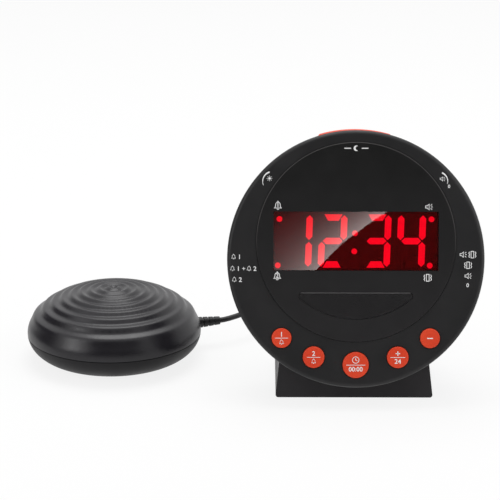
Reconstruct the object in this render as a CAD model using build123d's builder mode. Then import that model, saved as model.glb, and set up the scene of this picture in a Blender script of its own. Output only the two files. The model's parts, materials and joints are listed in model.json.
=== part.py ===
from build123d import *
from math import asin, ceil, cos, degrees, hypot, pi, radians, sin, sqrt, tan
import os

os.makedirs("parts", exist_ok=True)

# Sizes
# Lengths are in millimetres and angles in degrees. X runs across, Y back and Z up.
# The round front leans back. Places on it are given across, up and behind it.
disc_radius = 70.0
disc_lift = 12.6
lean = 16.7
bezel_depth = 17.5
wall = 2.4
rim_round = 2.4
back_round = 1.0
fit_gap = 0.2
moving_gap = 0.3
shaft_gap = 0.05
overrun = 5.0

shaker_radius = 50.3
shaker_height = 41.9
shaker_across = 136.8
shaker_behind = 60.2

# Panel
panel_radius = 54.2
panel_up = 9.3
panel_proud = 0.5
panel_edge = 0.35
seat_depth = 2.0
seat_thickness = 1.6
seat_width = 3.0
window_width = 89.5
window_height = 32.0
window_up = 9.8
window_flange = 1.6
flange_thickness = 1.0
lens_half_width = 31.0
lens_top = -17.9
lens_bottom = -32.8
lens_end = 3.2
lens_corner = 2.2

# Display
digit_height = 29.0
digit_spacing = 18.8
pair_half = 11.95
column_half = 5.9
segment_width = 3.5
segment_gap = 0.5
bar_outer_half = 4.9
bar_inner_half = 2.9
digit_slant = 2.0
segment_proud = 0.4
dot_radius = 1.55
dot_across = 41.3
dot_up = 12.6
colon_half = 4.9
dots_drop = 0.7
module_front = 3.6
module_width = 88.0
module_height = 31.0
display_shift = -0.65

# Boards
board_depth = 12.5
board_thickness = 1.6
board_radius = 62.5
post_radius = 2.4
post_ring = 57.0
post_angles = (25, 155, -160, -20)
boss_radius = 3.0
boss_inset = 5.1
boss_angles = (65, 115, -27, -153)
boss_notch = 0.8
pilot_radius = 1.1
screw_shank = 1.05
screw_head = 2.2
screw_head_height = 1.5
screw_length = 5.0

# Buttons
button_rings = (58.85, 58.0, 57.5, 58.0, 58.85)
button_angles = (-133.2, -113.2, -90.0, -66.8, -46.8)
button_radii = (5.35, 5.85, 7.1, 5.85, 5.35)
button_names = ("al1_button", "al2_button", "time_button", "up_button", "down_button")
button_proud = 1.0
button_travel = 0.9
button_gap = 0.35
button_round = 0.5
button_lip = 1.0
button_lip_thickness = 0.9
button_stem_radius = 1.6
switch_size = 6.0
switch_height = 3.5
plunger_radius = 1.6
plunger_height = 3.4

# Housing
drum_radius = 62.0
drum_depth = 43.0
drum_round = 5.0
flange_depth = 2.4
cover_radius = 57.0
cover_thickness = 2.0
cover_floor = -45.0
ledge_radius = 50.3
ledge_thickness = 2.4
stand_half_width = 43.5
stand_flare = 6.5
stand_back = 76.0
stand_corner = 9.0
stand_edge = 1.4
stand_lift = 0.8
heel_height = 9.0
slope_start = -46.5
stand_top = -40.0
cover_screw_ring = 53.6
cover_screw_angles = (38, 90, 142, -152, -28)

# Feet
foot_radius = 5.0
foot_sink = 1.0
foot_across = 28.0
foot_front = 25.0
foot_rear = 65.5
stand_boss_across = 38.2
stand_boss_top = 11.0

# Snooze
snooze_half_width = 20.0
snooze_top = 71.2
snooze_front = 18.8
snooze_behind = 6.2
snooze_round = 1.5
snooze_skin = 2.0
snooze_skirt = 54.6
snooze_lip = 2.0
snooze_lip_thickness = 1.2
snooze_travel = 1.5
snooze_board_up = 46.4
snooze_board_half = 28.5
snooze_board_inset = 3.0
snooze_post_across = 26.0
snooze_plunger_up = 51.7

# Wheels
wheel_radius = 9.0
wheel_ring = 56.5
wheel_thickness = 5.0
wheel_front = 20.0
wheel_gap = 0.4
wheel_notches = 24
wheel_notch = 0.45
dimmer_angle = 139.5
volume_angle = 42.0
pot_along = 12.0
pot_inner = 50.5
pot_outer = 59.0
pot_shaft = 2.0

# Sliders
slider_angles = (-174.8, -5.2)
slider_depth = 24.0
slider_pitch = 4.0
slider_well = 60.6
slider_well_width = 9.6
pad_inner = 58.2
pad_half = 12.6
well_half = 13.5
slider_steps = (2, 3)
slider_cap = 6.0
slider_cap_width = 7.4
slider_cap_height = 3.6
slider_stem = 3.0
slider_stem_width = 2.2
slider_switch_length = 20.0
slider_switch_width = 7.0
slider_switch_deep = 6.4
slider_pocket = 1.5
slider_grip_radius = 0.5

# Speaker
speaker_up = 17.5
speaker_radius = 28.0
speaker_rim = 2.5
speaker_depth = 12.0
magnet_radius = 15.0
magnet_depth = 6.0
cone_wall = 0.8
grille_radius = 23.0
grille_slot = 2.2
grille_pitch = 4.6

# Sockets
socket_across = 38.0
socket_up = -19.0
socket_body = 9.6
socket_deep = 14.0
socket_nose = 4.0
inlet_bore = 3.15
inlet_pin = 1.0
inlet_reach = 9.5
jack_bore = 1.8
tone_up = 8.0
tone_radius = 6.0
tone_height = 6.0
tone_shaft = 1.5
tone_pot_radius = 5.5
tone_pot_depth = 7.0

# Battery
bay_half_width = 26.0
bay_top = -13.6
bay_bottom = -40.4
bay_wall = 1.4
bay_room = 7.0
door_ribs = 4
clip_thickness = 2.5
stud_radius = 2.8
stud_height = 2.0
stud_half_gap = 6.35

# Shaker
dome_wall = 2.2
shaker_waist = 15.7
seam_height = 14.9
seam_gap = 0.4
dome_power = 2.0
lower_power = 1.97
floor_radius = 31.0
ripple_pitch = 5.35
ripple_count = 8
ripple_height = 0.5
pad_lift = 0.8
pad_radius = 5.5
pad_ring = 24.0
dome_boss_ring = 34.0
dome_boss_radius = 3.2
dome_boss_top = 32.5
dome_boss_base = 6.0
motor_radius = 12.0
motor_length = 30.0
motor_start = -22.0
motor_up = 17.2
motor_shaft = 1.5
motor_shaft_length = 14.0
weight_radius = 11.2
weight_length = 9.0
weight_start = 11.0
weight_hub = 3.6
cradle_width = 4.0
cradle_half = 21.0
clamp_wall = 1.8
clamp_width = 10.0
clamp_lug = 1.8
clamp_screw_across = 17.0
relief_angle = 17.0
relief_length = 13.0
relief_radius = 3.3
relief_tip = 2.4
relief_collar = 3.6
relief_flange = 0.8
relief_ribs = 3
relief_rib_width = 2.3
relief_groove = 1.0

# Cord
# Free places are given across, back and up from the floor below the middle of the front.
cord_diameter = 3.2
cord_lift = 1.7
run_start = 5.0
run_high = (-54.0, 95.0, 16.4)
run_low = (-36.0, 114.5, 6.0)
run_landing = -8.0
tail_leaving = 31.0
tail_corner = (43.0, 108.5, 17.0)
tail_high = (42.0, 88.0, 27.0)
tail_end = 12.8
coil_across = 13.6
coil_behind = 99.6
coil_radius = 18.25
coil_layers = 4
coil_turns = 14
coil_ramp = 0.25
coil_step = 3.9
plug_gap = 0.2
plug_grip = 4.6
plug_grip_length = 16.0
plug_neck = 2.6
plug_length = 27.0
plug_pin = 1.75
plug_pin_length = 13.0

# Places
lean_sin = sin(radians(lean))
lean_cos = cos(radians(lean))
face_height = disc_lift + disc_radius * lean_cos
front_reach = (disc_radius - rim_round) * lean_sin + rim_round * (1 - lean_cos)
clock_x = (shaker_across + shaker_radius - disc_radius) / 2
clock_y = (front_reach - shaker_behind - shaker_radius) / 2
shaker_x = clock_x - shaker_across
shaker_y = clock_y + shaker_behind
face = Plane(origin=(clock_x, clock_y, face_height), x_dir=(1, 0, 0), z_dir=(0, -lean_cos, lean_sin))
out_of_face = Axis(face.origin, face.z_dir)
up_face = Axis(face.origin, face.y_dir)


def behind(depth):
    """Plane parallel to the round front, a given depth behind it."""
    return face.offset(-depth)


def ring_place(radius, angle):
    """Place on a circle about the middle of the round front."""
    return (radius * cos(radians(angle)), radius * sin(radians(angle)))


def world(across, up, depth):
    """Point in the shared frame of a place on or behind the front."""
    return face.from_local_coords(Vector(across, up, -depth))


def rim_plane(angle, radius, depth):
    """Plane that faces outwards at a place on the round housing's side."""
    outward = face.x_dir * cos(radians(angle)) + face.y_dir * sin(radians(angle))
    along = face.y_dir * cos(radians(angle)) - face.x_dir * sin(radians(angle))
    across, up = ring_place(radius, angle)
    return Plane(origin=world(across, up, depth), x_dir=along, z_dir=outward)


button_places = [ring_place(ring, angle) for ring, angle in zip(button_rings, button_angles)]
post_places = [ring_place(post_ring, angle) for angle in post_angles]
boss_places = [ring_place(disc_radius - boss_inset, angle) for angle in boss_angles]
cover_screw_places = [ring_place(cover_screw_ring, angle) for angle in cover_screw_angles]
flange_front = bezel_depth - flange_depth
board_back = board_depth + board_thickness
snooze_depth = drum_depth - snooze_front - snooze_behind
snooze_board_width = snooze_depth - 2 * snooze_board_inset
snooze_middle = snooze_front + snooze_depth / 2
snooze_post_top = sqrt((drum_radius - wall / 2) ** 2 - (snooze_post_across + post_radius) ** 2)


def rearward(depth):
    """Plane at a given depth that faces the back, so that across is turned round on it."""
    return Plane(origin=world(0, 0, depth), x_dir=-face.x_dir, z_dir=-face.z_dir)


def shelf(up, depth):
    """Plane square to the front, facing up along it."""
    return Plane(origin=world(0, up, depth), x_dir=face.x_dir, z_dir=face.y_dir)


def screws(seat, places):
    """Pan-head screws: heads stand on the seat plane, shanks go in behind it."""
    with BuildPart() as group:
        with BuildSketch(seat):
            with Locations(*places):
                Circle(screw_head)
        extrude(amount=screw_head_height)
        chamfer(group.edges().filter_by(GeomType.CIRCLE).sort_by(Axis(seat.origin, seat.z_dir))[-len(places):],
                screw_head_height / 3)
        with BuildSketch(seat):
            with Locations(*places):
                Circle(screw_shank)
        extrude(amount=-screw_length)
    return group.part


# Bezel
with BuildPart() as front_bezel:
    with BuildSketch(face):
        Circle(disc_radius)
    extrude(amount=-bezel_depth)
    fillet(front_bezel.edges().filter_by(GeomType.CIRCLE).sort_by(out_of_face)[-1], rim_round)
    fillet(front_bezel.edges().filter_by(GeomType.CIRCLE).sort_by(out_of_face)[0], back_round)
    with BuildSketch(behind(bezel_depth)):
        Circle(disc_radius - wall)
    extrude(amount=bezel_depth - wall, mode=Mode.SUBTRACT)
    # Ring behind the front wall that carries the panel
    with BuildSketch(behind(seat_depth + seat_thickness)):
        with Locations((0, panel_up)):
            Circle(panel_radius + wall)
    extrude(amount=seat_depth + seat_thickness - wall)
    with BuildSketch(face):
        with Locations((0, panel_up)):
            Circle(panel_radius - seat_width)
    extrude(amount=-(seat_depth + seat_thickness), mode=Mode.SUBTRACT)
    with BuildSketch(face):
        with Locations((0, panel_up)):
            Circle(panel_radius + fit_gap)
    extrude(amount=-seat_depth, mode=Mode.SUBTRACT)
    # Posts for the main board and bosses for the housing
    with BuildSketch(behind(board_depth)):
        with Locations(*post_places):
            Circle(post_radius)
    extrude(amount=board_depth - wall)
    with BuildSketch(behind(flange_front)):
        with Locations(*boss_places):
            Circle(boss_radius)
    extrude(amount=flange_front - wall)
    with BuildSketch(behind(board_depth)):
        with Locations(*post_places):
            Circle(pilot_radius)
    extrude(amount=screw_length, mode=Mode.SUBTRACT)
    with BuildSketch(behind(flange_front)):
        with Locations(*boss_places):
            Circle(pilot_radius)
    extrude(amount=screw_length, mode=Mode.SUBTRACT)
    with BuildSketch(face):
        for place, radius in zip(button_places, button_radii):
            with Locations(place):
                Circle(radius + button_gap)
    extrude(amount=-(seat_depth + seat_thickness), mode=Mode.SUBTRACT)
front_bezel.part.label = "front_bezel"
export_step(front_bezel.part, "parts/front_bezel.step")


# Panel
def lens_outline(grow):
    """Smile shape of the alert lens: flat top, rounded ends and one long arc below."""
    half = lens_half_width
    low = lens_top - lens_end
    with BuildSketch() as outline:
        with BuildLine():
            Polyline((-half, low), (-half, lens_top), (half, lens_top), (half, low))
            ThreePointArc((half, low), (0, lens_bottom), (-half, low))
        make_face()
        fillet(outline.vertices().group_by(Axis.Y)[-1], lens_corner)
        if grow != 0:
            offset(amount=grow, mode=Mode.REPLACE)
    return outline.sketch


with BuildPart() as face_panel:
    with BuildSketch(behind(seat_depth)):
        with Locations((0, panel_up)):
            Circle(panel_radius)
        with Locations((0, window_up)):
            Rectangle(window_width, window_height, mode=Mode.SUBTRACT)
    extrude(amount=seat_depth + panel_proud)
    with BuildSketch(behind(seat_depth)):
        add(lens_outline(0))
    extrude(amount=seat_depth + panel_proud, mode=Mode.SUBTRACT)
    fillet(face_panel.edges().filter_by(GeomType.CIRCLE).group_by(out_of_face)[-1].sort_by(SortBy.LENGTH)[-1],
           panel_edge)
face_panel.part.label = "face_panel"
export_step(face_panel.part, "parts/face_panel.step")

with BuildPart() as display_window:
    with BuildSketch(behind(seat_depth)):
        with Locations((0, window_up)):
            Rectangle(window_width - 2 * fit_gap, window_height - 2 * fit_gap)
    extrude(amount=seat_depth + panel_proud)
    with BuildSketch(behind(seat_depth + flange_thickness)):
        with Locations((0, window_up)):
            Rectangle(window_width + 2 * window_flange, window_height + 2 * window_flange)
    extrude(amount=flange_thickness)
display_window.part.label = "display_window"
export_step(display_window.part, "parts/display_window.step")

with BuildPart() as alert_lens:
    with BuildSketch(behind(seat_depth)):
        add(lens_outline(-fit_gap))
    extrude(amount=seat_depth + panel_proud)
    with BuildSketch(behind(seat_depth + flange_thickness)):
        add(lens_outline(window_flange))
    extrude(amount=flange_thickness)
alert_lens.part.label = "alert_lens"
export_step(alert_lens.part, "parts/alert_lens.step")

# Display
with BuildPart() as main_board:
    with BuildSketch(behind(board_back)):
        Circle(board_radius)
        with Locations(*boss_places):
            Circle(boss_radius + boss_notch, mode=Mode.SUBTRACT)
        with Locations(*post_places):
            Circle(screw_shank + fit_gap, mode=Mode.SUBTRACT)
    extrude(amount=board_thickness)
main_board.part.label = "main_board"
export_step(main_board.part, "parts/main_board.step")


with BuildPart() as display_module:
    with BuildSketch(behind(board_depth)):
        with Locations((0, window_up)):
            Rectangle(module_width, module_height)
    extrude(amount=board_depth - module_front)
display_module.part.label = "display_module"
export_step(display_module.part, "parts/display_module.step")

# Digits
# Segments are lettered a to g: top, upper right, lower right, bottom, lower left, upper left, middle.
half_digit = digit_height / 2
bar_middle = half_digit - segment_width / 2
upright_middle = half_digit / 2
upright_half = half_digit / 2 - segment_gap
tip = segment_width / 2
lit_segments = {-2: "bc", -1: "abged", 1: "abgcd", 2: "fgbc"}


def slanted(points):
    """Outline moved across in step with its height, as sloping digits are."""
    return [(across + up * tan(radians(digit_slant)), up) for across, up in points]


def segment_outline(letter):
    """Outline of one segment about the middle of its digit."""
    if letter in "ad":
        side = 1 if letter == "a" else -1
        outer = side * half_digit
        inner = side * (half_digit - segment_width)
        return slanted([(-bar_outer_half, outer), (bar_outer_half, outer),
                        (bar_inner_half, inner), (-bar_inner_half, inner)])
    if letter == "g":
        reach = column_half - segment_gap
        return slanted([(-reach, 0), (tip - reach, tip), (reach - tip, tip),
                        (reach, 0), (reach - tip, -tip), (tip - reach, -tip)])
    across = column_half if letter in "bc" else -column_half
    up = upright_middle if letter in "bf" else -upright_middle
    return slanted([(across, up + upright_half), (across + tip, up + upright_half - tip),
                    (across + tip, up - upright_half + tip), (across, up - upright_half),
                    (across - tip, up - upright_half + tip), (across - tip, up + upright_half - tip)])


def digit_segments(wanted):
    """Thin solids for the segments of four digits that are lit, or for those that are dark."""
    with BuildPart() as group:
        with BuildSketch(behind(module_front)):
            for slot, lit in lit_segments.items():
                side = 1 if slot > 0 else -1
                middle = display_shift + side * (pair_half + (abs(slot) - 1) * digit_spacing)
                for letter in "abcdefg":
                    if (letter in lit) == wanted:
                        outline = [(x + middle, y + window_up) for x, y in segment_outline(letter)]
                        Polygon(*outline, align=None)
        extrude(amount=segment_proud)
    return group.part


segments_lit = digit_segments(True)
segments_lit.label = "segments_lit"
export_step(segments_lit, "parts/segments_lit.step")

segments_dark = digit_segments(False)
segments_dark.label = "segments_dark"
export_step(segments_dark, "parts/segments_dark.step")

with BuildPart() as indicator_dots:
    with BuildSketch(behind(module_front)):
        with Locations(*[(across + display_shift, up + window_up - dots_drop)
                         for across, up in slanted([(dot_across, dot_up), (dot_across, -dot_up),
                                                    (-dot_across, dot_up), (-dot_across, -dot_up),
                                                    (0, colon_half), (0, -colon_half)])]):
            Circle(dot_radius)
    extrude(amount=segment_proud)
indicator_dots.part.label = "indicator_dots"
export_step(indicator_dots.part, "parts/indicator_dots.step")

# Lamps
lamp_radius = 2.5
lamp_across = 22.4
lamp_up = -23.4
lamp_front = 6.0
sensor_size = 3.2
sensor_up = -28.4
with BuildPart() as alert_lamps:
    with BuildSketch(behind(board_depth)):
        with Locations((-lamp_across, lamp_up), (lamp_across, lamp_up)):
            Circle(lamp_radius)
        with Locations((0, sensor_up)):
            Rectangle(sensor_size, sensor_size)
    extrude(amount=board_depth - lamp_front)
    fillet(alert_lamps.edges().filter_by(GeomType.CIRCLE).group_by(out_of_face)[-1], lamp_radius * 0.9)
alert_lamps.part.label = "alert_lamps"
export_step(alert_lamps.part, "parts/alert_lamps.step")

# Buttons
plunger_front = board_depth - switch_height - plunger_height
for place, radius, name in zip(button_places, button_radii, button_names):
    with BuildPart() as button:
        with BuildSketch(behind(wall + moving_gap)):
            with Locations(place):
                Circle(radius)
        extrude(amount=wall + moving_gap + button_proud)
        fillet(button.edges().filter_by(GeomType.CIRCLE).sort_by(out_of_face)[-1], button_round)
        with BuildSketch(behind(wall + moving_gap + button_lip_thickness)):
            with Locations(place):
                Circle(radius + button_lip)
        extrude(amount=button_lip_thickness)
        with BuildSketch(behind(plunger_front - button_travel - fit_gap)):
            with Locations(place):
                Circle(button_stem_radius)
        extrude(amount=plunger_front - button_travel - fit_gap - wall)
    button.part.label = name
    export_step(button.part, f"parts/{name}.step")

with BuildPart() as button_switches:
    with BuildSketch(behind(board_depth)):
        with Locations(*button_places):
            Rectangle(switch_size, switch_size)
    extrude(amount=switch_height)
    with BuildSketch(behind(board_depth - switch_height)):
        with Locations(*button_places):
            Circle(plunger_radius)
    extrude(amount=plunger_height)
button_switches.part.label = "button_switches"
export_step(button_switches.part, "parts/button_switches.step")


# Stand
def side_point(up, depth):
    """Point of the side view: distance back and height in the shared frame."""
    point = world(0, up, depth)
    return (point.Y, point.Z)


def plane_at_height(depth, height):
    """Where a plane parallel to the front meets a height, in the side view."""
    up = (height - face_height + depth * lean_sin) / lean_cos
    return side_point(up, depth)


stand_front = bezel_depth + fit_gap
front_edge = clock_y - front_reach
stand_rear = front_edge + stand_back
stand_boss_places = [(clock_x + side * stand_boss_across, front_edge + back)
                     for side in (-1, 1) for back in (foot_front, foot_rear)]
foot_places = [(clock_x + side * foot_across, front_edge + back)
               for side in (-1, 1) for back in (foot_front, foot_rear)]
cover_seat = drum_depth - cover_thickness
ledge_front = cover_seat - ledge_thickness
bay_depth = cover_seat - board_back - bay_wall - bay_room


def stand_block(inset, foot):
    """Wedge under the housing: flared sides, leaning front and low rounded heel."""
    slope_top = side_point(slope_start, drum_depth)
    heel = (stand_rear, heel_height)
    run = heel[0] - slope_top[0]
    drop = slope_top[1] - heel[1]
    length = hypot(run, drop)
    top_y = slope_top[0] - inset * drop / length
    top_z = slope_top[1] - inset * run / length
    heel_y = stand_rear - inset
    heel_z = top_z - (heel_y - top_y) * drop / run
    inner_up = (top_z - face_height + drum_depth * lean_sin) / lean_cos
    flare = tan(radians(stand_flare))
    low_half = stand_half_width - inset + (stand_lift - foot) * flare
    high = face_height - disc_radius / 2
    high_half = stand_half_width - inset - (high - stand_lift) * flare
    with BuildPart() as block:
        with BuildSketch(Plane.YZ.offset(clock_x)):
            with BuildLine():
                Polyline(plane_at_height(stand_front + inset, foot),
                         side_point(stand_top, stand_front + inset),
                         side_point(stand_top, ledge_front),
                         side_point(inner_up, ledge_front),
                         (top_y, top_z), (heel_y, heel_z), (heel_y, foot), close=True)
            make_face()
        extrude(amount=disc_radius, both=True)
        with BuildSketch(Plane.XZ.offset(-clock_y)) as front_view:
            with BuildLine():
                Polyline((clock_x - low_half, foot), (clock_x + low_half, foot),
                         (clock_x + high_half, high), (clock_x - high_half, high), close=True)
            make_face()
            if inset == 0:
                fillet(front_view.vertices().group_by(Axis.Y)[0], stand_edge)
        extrude(amount=2 * disc_radius, both=True, mode=Mode.INTERSECT)
        with BuildSketch(Plane.XY) as plan:
            with Locations((clock_x, (stand_rear - inset) - disc_radius)):
                Rectangle(2 * low_half, 2 * disc_radius)
            fillet(plan.vertices().group_by(Axis.Y)[-1], stand_corner - inset)
        extrude(amount=disc_radius, both=True, mode=Mode.INTERSECT)
    return block.part


with BuildPart() as rear_housing:
    with BuildSketch(behind(bezel_depth)):
        Circle(drum_radius)
    extrude(amount=bezel_depth - drum_depth)
    fillet(rear_housing.edges().filter_by(GeomType.CIRCLE).sort_by(out_of_face)[0], drum_round)
    with BuildSketch(behind(flange_front)):
        Circle(disc_radius - wall - fit_gap)
    extrude(amount=-flange_depth)
    add(stand_block(0, stand_lift))
    with BuildSketch(behind(flange_front)):
        Circle(drum_radius - wall)
    extrude(amount=flange_front - ledge_front, mode=Mode.SUBTRACT)
    add(stand_block(wall, -overrun), mode=Mode.SUBTRACT)
    # Opening and recess for the back cover, cut straight above the heel
    for radius, floor, start in ((ledge_radius, cover_floor + wall, ledge_front - overrun),
                                 (cover_radius, cover_floor, cover_seat)):
        with BuildSketch(behind(start)):
            Circle(radius)
            with Locations((0, floor - disc_radius)):
                Rectangle(2 * disc_radius, 2 * disc_radius, mode=Mode.SUBTRACT)
        extrude(amount=start - drum_depth - overrun, mode=Mode.SUBTRACT)
    with BuildSketch(behind(cover_seat)):
        with Locations(*cover_screw_places):
            Circle(pilot_radius)
    extrude(amount=ledge_thickness, mode=Mode.SUBTRACT)
    with BuildSketch(Plane.XY.offset(stand_lift + wall)):
        with Locations(*stand_boss_places):
            Circle(boss_radius)
            Circle(pilot_radius, mode=Mode.SUBTRACT)
    extrude(amount=stand_boss_top - stand_lift - wall)
    with BuildSketch(behind(bezel_depth)):
        with Locations(*boss_places):
            Circle(screw_shank + fit_gap)
    extrude(amount=flange_depth, mode=Mode.SUBTRACT)
    # Opening in the top for the snooze bar, and posts for its switch board
    with BuildSketch(behind(snooze_front - moving_gap)):
        with Locations((0, drum_radius)):
            Rectangle(2 * (snooze_half_width + moving_gap), drum_radius / 2)
    extrude(amount=-(snooze_depth + 2 * moving_gap), mode=Mode.SUBTRACT)
    with BuildSketch(shelf(snooze_board_up + board_thickness, snooze_middle)):
        with Locations((-snooze_post_across, 0), (snooze_post_across, 0)):
            Circle(post_radius)
    extrude(amount=snooze_post_top - snooze_board_up - board_thickness)
    with BuildSketch(shelf(snooze_board_up + board_thickness, snooze_middle)):
        with Locations((-snooze_post_across, 0), (snooze_post_across, 0)):
            Circle(pilot_radius)
    extrude(amount=snooze_post_top - snooze_board_up - board_thickness - back_round, mode=Mode.SUBTRACT)
    # Slots for the two thumbwheels
    for angle in (dimmer_angle, volume_angle):
        with BuildSketch(rim_plane(angle, wheel_ring, wheel_front + wheel_thickness / 2)):
            Rectangle(2 * (wheel_radius + wheel_gap), wheel_thickness + 2 * wheel_gap)
        extrude(amount=wheel_radius + overrun, mode=Mode.SUBTRACT)
    # Flat wells, backing pads and slots for the two sliders
    for angle, steps in zip(slider_angles, slider_steps):
        with BuildSketch(rim_plane(angle, pad_inner, slider_depth)):
            Rectangle(2 * pad_half, slider_well_width)
        extrude(amount=slider_well - pad_inner)
        with BuildSketch(rim_plane(angle, slider_well, slider_depth)):
            Rectangle(2 * well_half, slider_well_width)
        extrude(amount=overrun, mode=Mode.SUBTRACT)
        with BuildSketch(rim_plane(angle, pad_inner, slider_depth)):
            Rectangle(steps * slider_pitch + slider_stem + 2 * moving_gap, slider_stem_width + 2 * moving_gap)
        extrude(amount=slider_well - pad_inner, mode=Mode.SUBTRACT)
rear_housing.part.label = "rear_housing"
export_step(rear_housing.part, "parts/rear_housing.step")

# Base
counterbore = screw_head + fit_gap
base_seat = stand_lift + screw_head_height + fit_gap / 2
with BuildPart() as base_plate:
    add(stand_block(wall + fit_gap, -overrun))
    with BuildSketch(Plane.XY.offset(stand_lift)):
        with Locations((clock_x, clock_y)):
            Rectangle(2 * disc_radius, 4 * disc_radius)
    extrude(amount=wall, mode=Mode.INTERSECT)
    with BuildSketch(Plane.XY.offset(stand_lift)):
        with Locations(*stand_boss_places):
            Circle(screw_shank + fit_gap)
    extrude(amount=wall, mode=Mode.SUBTRACT)
    with BuildSketch(Plane.XY.offset(stand_lift)):
        with Locations(*stand_boss_places):
            Circle(counterbore)
    extrude(amount=base_seat - stand_lift, mode=Mode.SUBTRACT)
    with BuildSketch(Plane.XY.offset(stand_lift)):
        with Locations(*foot_places):
            Circle(foot_radius + fit_gap / 2)
    extrude(amount=foot_sink, mode=Mode.SUBTRACT)
base_plate.part.label = "base_plate"
export_step(base_plate.part, "parts/base_plate.step")

with BuildPart() as rubber_feet:
    with BuildSketch():
        with Locations(*foot_places):
            Circle(foot_radius)
    extrude(amount=stand_lift + foot_sink)
    fillet(rubber_feet.edges().filter_by(GeomType.CIRCLE).group_by(Axis.Z)[0], stand_lift / 2)
rubber_feet.part.label = "rubber_feet"
export_step(rubber_feet.part, "parts/rubber_feet.step")

# Snooze
snooze_low = snooze_skirt - snooze_lip_thickness
with BuildPart() as snooze_bar:
    with BuildSketch(behind(snooze_front)):
        Circle(snooze_top)
        with Locations((0, snooze_low + disc_radius)):
            Rectangle(2 * snooze_half_width, 2 * disc_radius, mode=Mode.INTERSECT)
    extrude(amount=-snooze_depth)
    fillet(snooze_bar.edges().filter_by(GeomType.CIRCLE)
           + snooze_bar.edges().filter_by(out_of_face).group_by(up_face)[-1], snooze_round)
    with BuildSketch(behind(snooze_front + snooze_skin)):
        Circle(snooze_top - snooze_skin)
        with Locations((0, snooze_low + disc_radius)):
            Rectangle(2 * (snooze_half_width - snooze_skin), 2 * disc_radius, mode=Mode.INTERSECT)
    extrude(amount=-(snooze_depth - 2 * snooze_skin), mode=Mode.SUBTRACT)
    for side in (-1, 1):
        with BuildSketch(behind(snooze_front)):
            with Locations((side * (snooze_half_width - snooze_skin / 2 + snooze_lip / 2),
                            snooze_low + snooze_lip_thickness / 2)):
                Rectangle(snooze_skin + snooze_lip, snooze_lip_thickness)
        extrude(amount=-snooze_depth)
    with BuildSketch(shelf(snooze_low, snooze_middle)):
        Rectangle(switch_size, snooze_depth - snooze_skin)
    extrude(amount=snooze_top - snooze_skin - snooze_low)
snooze_bar.part.label = "snooze_bar"
export_step(snooze_bar.part, "parts/snooze_bar.step")

with BuildPart() as snooze_board:
    with BuildSketch(shelf(snooze_board_up, snooze_middle)):
        Rectangle(2 * snooze_board_half, snooze_board_width)
        with Locations((-snooze_post_across, 0), (snooze_post_across, 0)):
            Circle(screw_shank + fit_gap, mode=Mode.SUBTRACT)
    extrude(amount=board_thickness)
snooze_board.part.label = "snooze_board"
export_step(snooze_board.part, "parts/snooze_board.step")

with BuildPart() as snooze_switch:
    with BuildSketch(shelf(snooze_board_up + board_thickness, snooze_middle)):
        Rectangle(switch_size, switch_size)
    extrude(amount=switch_height - fit_gap)
    with BuildSketch(shelf(snooze_board_up + board_thickness, snooze_middle)):
        Circle(plunger_radius)
    extrude(amount=snooze_plunger_up - snooze_board_up - board_thickness)
snooze_switch.part.label = "snooze_switch"
export_step(snooze_switch.part, "parts/snooze_switch.step")

# Wheels
pot_back = wheel_front - 2 * moving_gap
for name, angle in (("dimmer", dimmer_angle), ("volume", volume_angle)):
    with BuildPart() as wheel:
        with BuildSketch(behind(wheel_front)):
            with Locations(ring_place(wheel_ring, angle)):
                Circle(wheel_radius)
                Circle(pot_shaft + shaft_gap, mode=Mode.SUBTRACT)
                with PolarLocations(wheel_radius, wheel_notches):
                    RegularPolygon(wheel_notch, 4, mode=Mode.SUBTRACT)
        extrude(amount=-wheel_thickness)
    wheel.part.label = name + "_wheel"
    export_step(wheel.part, f"parts/{name}_wheel.step")
    with BuildPart() as pot:
        with BuildSketch(rim_plane(angle, pot_inner, (board_back + pot_back) / 2)):
            Rectangle(pot_along, pot_back - board_back)
        extrude(amount=pot_outer - pot_inner)
        with BuildSketch(behind(pot_back)):
            with Locations(ring_place(wheel_ring, angle)):
                Circle(pot_shaft)
        extrude(amount=pot_back - wheel_front - wheel_thickness)
    pot.part.label = name + "_pot"
    export_step(pot.part, f"parts/{name}_pot.step")

# Sliders
slot_width = slider_stem_width + 2 * moving_gap
cap_start = slider_well + moving_gap
for name, angle, steps in zip(("alarm", "mode"), slider_angles, slider_steps):
    travel = steps * slider_pitch
    # Both sliders stand at the top of their slots
    rest = travel / 2 if cos(radians(angle)) > 0 else -travel / 2
    with BuildPart() as slider:
        with BuildSketch(rim_plane(angle, cap_start, slider_depth)):
            with Locations((rest, 0)):
                Rectangle(slider_cap, slider_cap_width)
        extrude(amount=slider_cap_height)
        fillet(slider.faces().sort_by(Axis(world(0, 0, 0), rim_plane(angle, 0, 0).z_dir))[-1].edges(),
               slider_grip_radius)
        for side in (-1, 0, 1):
            with BuildSketch(rim_plane(angle, cap_start + slider_cap_height, slider_depth)):
                with Locations((rest + side * slider_cap / 4, 0)):
                    Rectangle(slider_grip_radius, slider_cap_width - 2 * slider_grip_radius)
            extrude(amount=-slider_grip_radius, mode=Mode.SUBTRACT)
        with BuildSketch(rim_plane(angle, cap_start, slider_depth)):
            with Locations((rest, 0)):
                Rectangle(slider_stem, slider_stem_width)
        extrude(amount=-(cap_start - pad_inner + slider_pocket - moving_gap))
    slider.part.label = name + "_slider"
    export_step(slider.part, f"parts/{name}_slider.step")
    switch_end = slider_depth + slider_switch_width / 2
    with BuildPart() as slide_switch:
        with BuildSketch(rim_plane(angle, pad_inner - fit_gap / 2, (board_back + switch_end) / 2)):
            Rectangle(slider_switch_length, switch_end - board_back)
        extrude(amount=-slider_switch_deep)
        with BuildSketch(rim_plane(angle, pad_inner, slider_depth)):
            Rectangle(travel + slider_stem + 2 * moving_gap, slot_width)
        extrude(amount=-slider_pocket, mode=Mode.SUBTRACT)
    slide_switch.part.label = name + "_switch"
    export_step(slide_switch.part, f"parts/{name}_switch.step")

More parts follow.
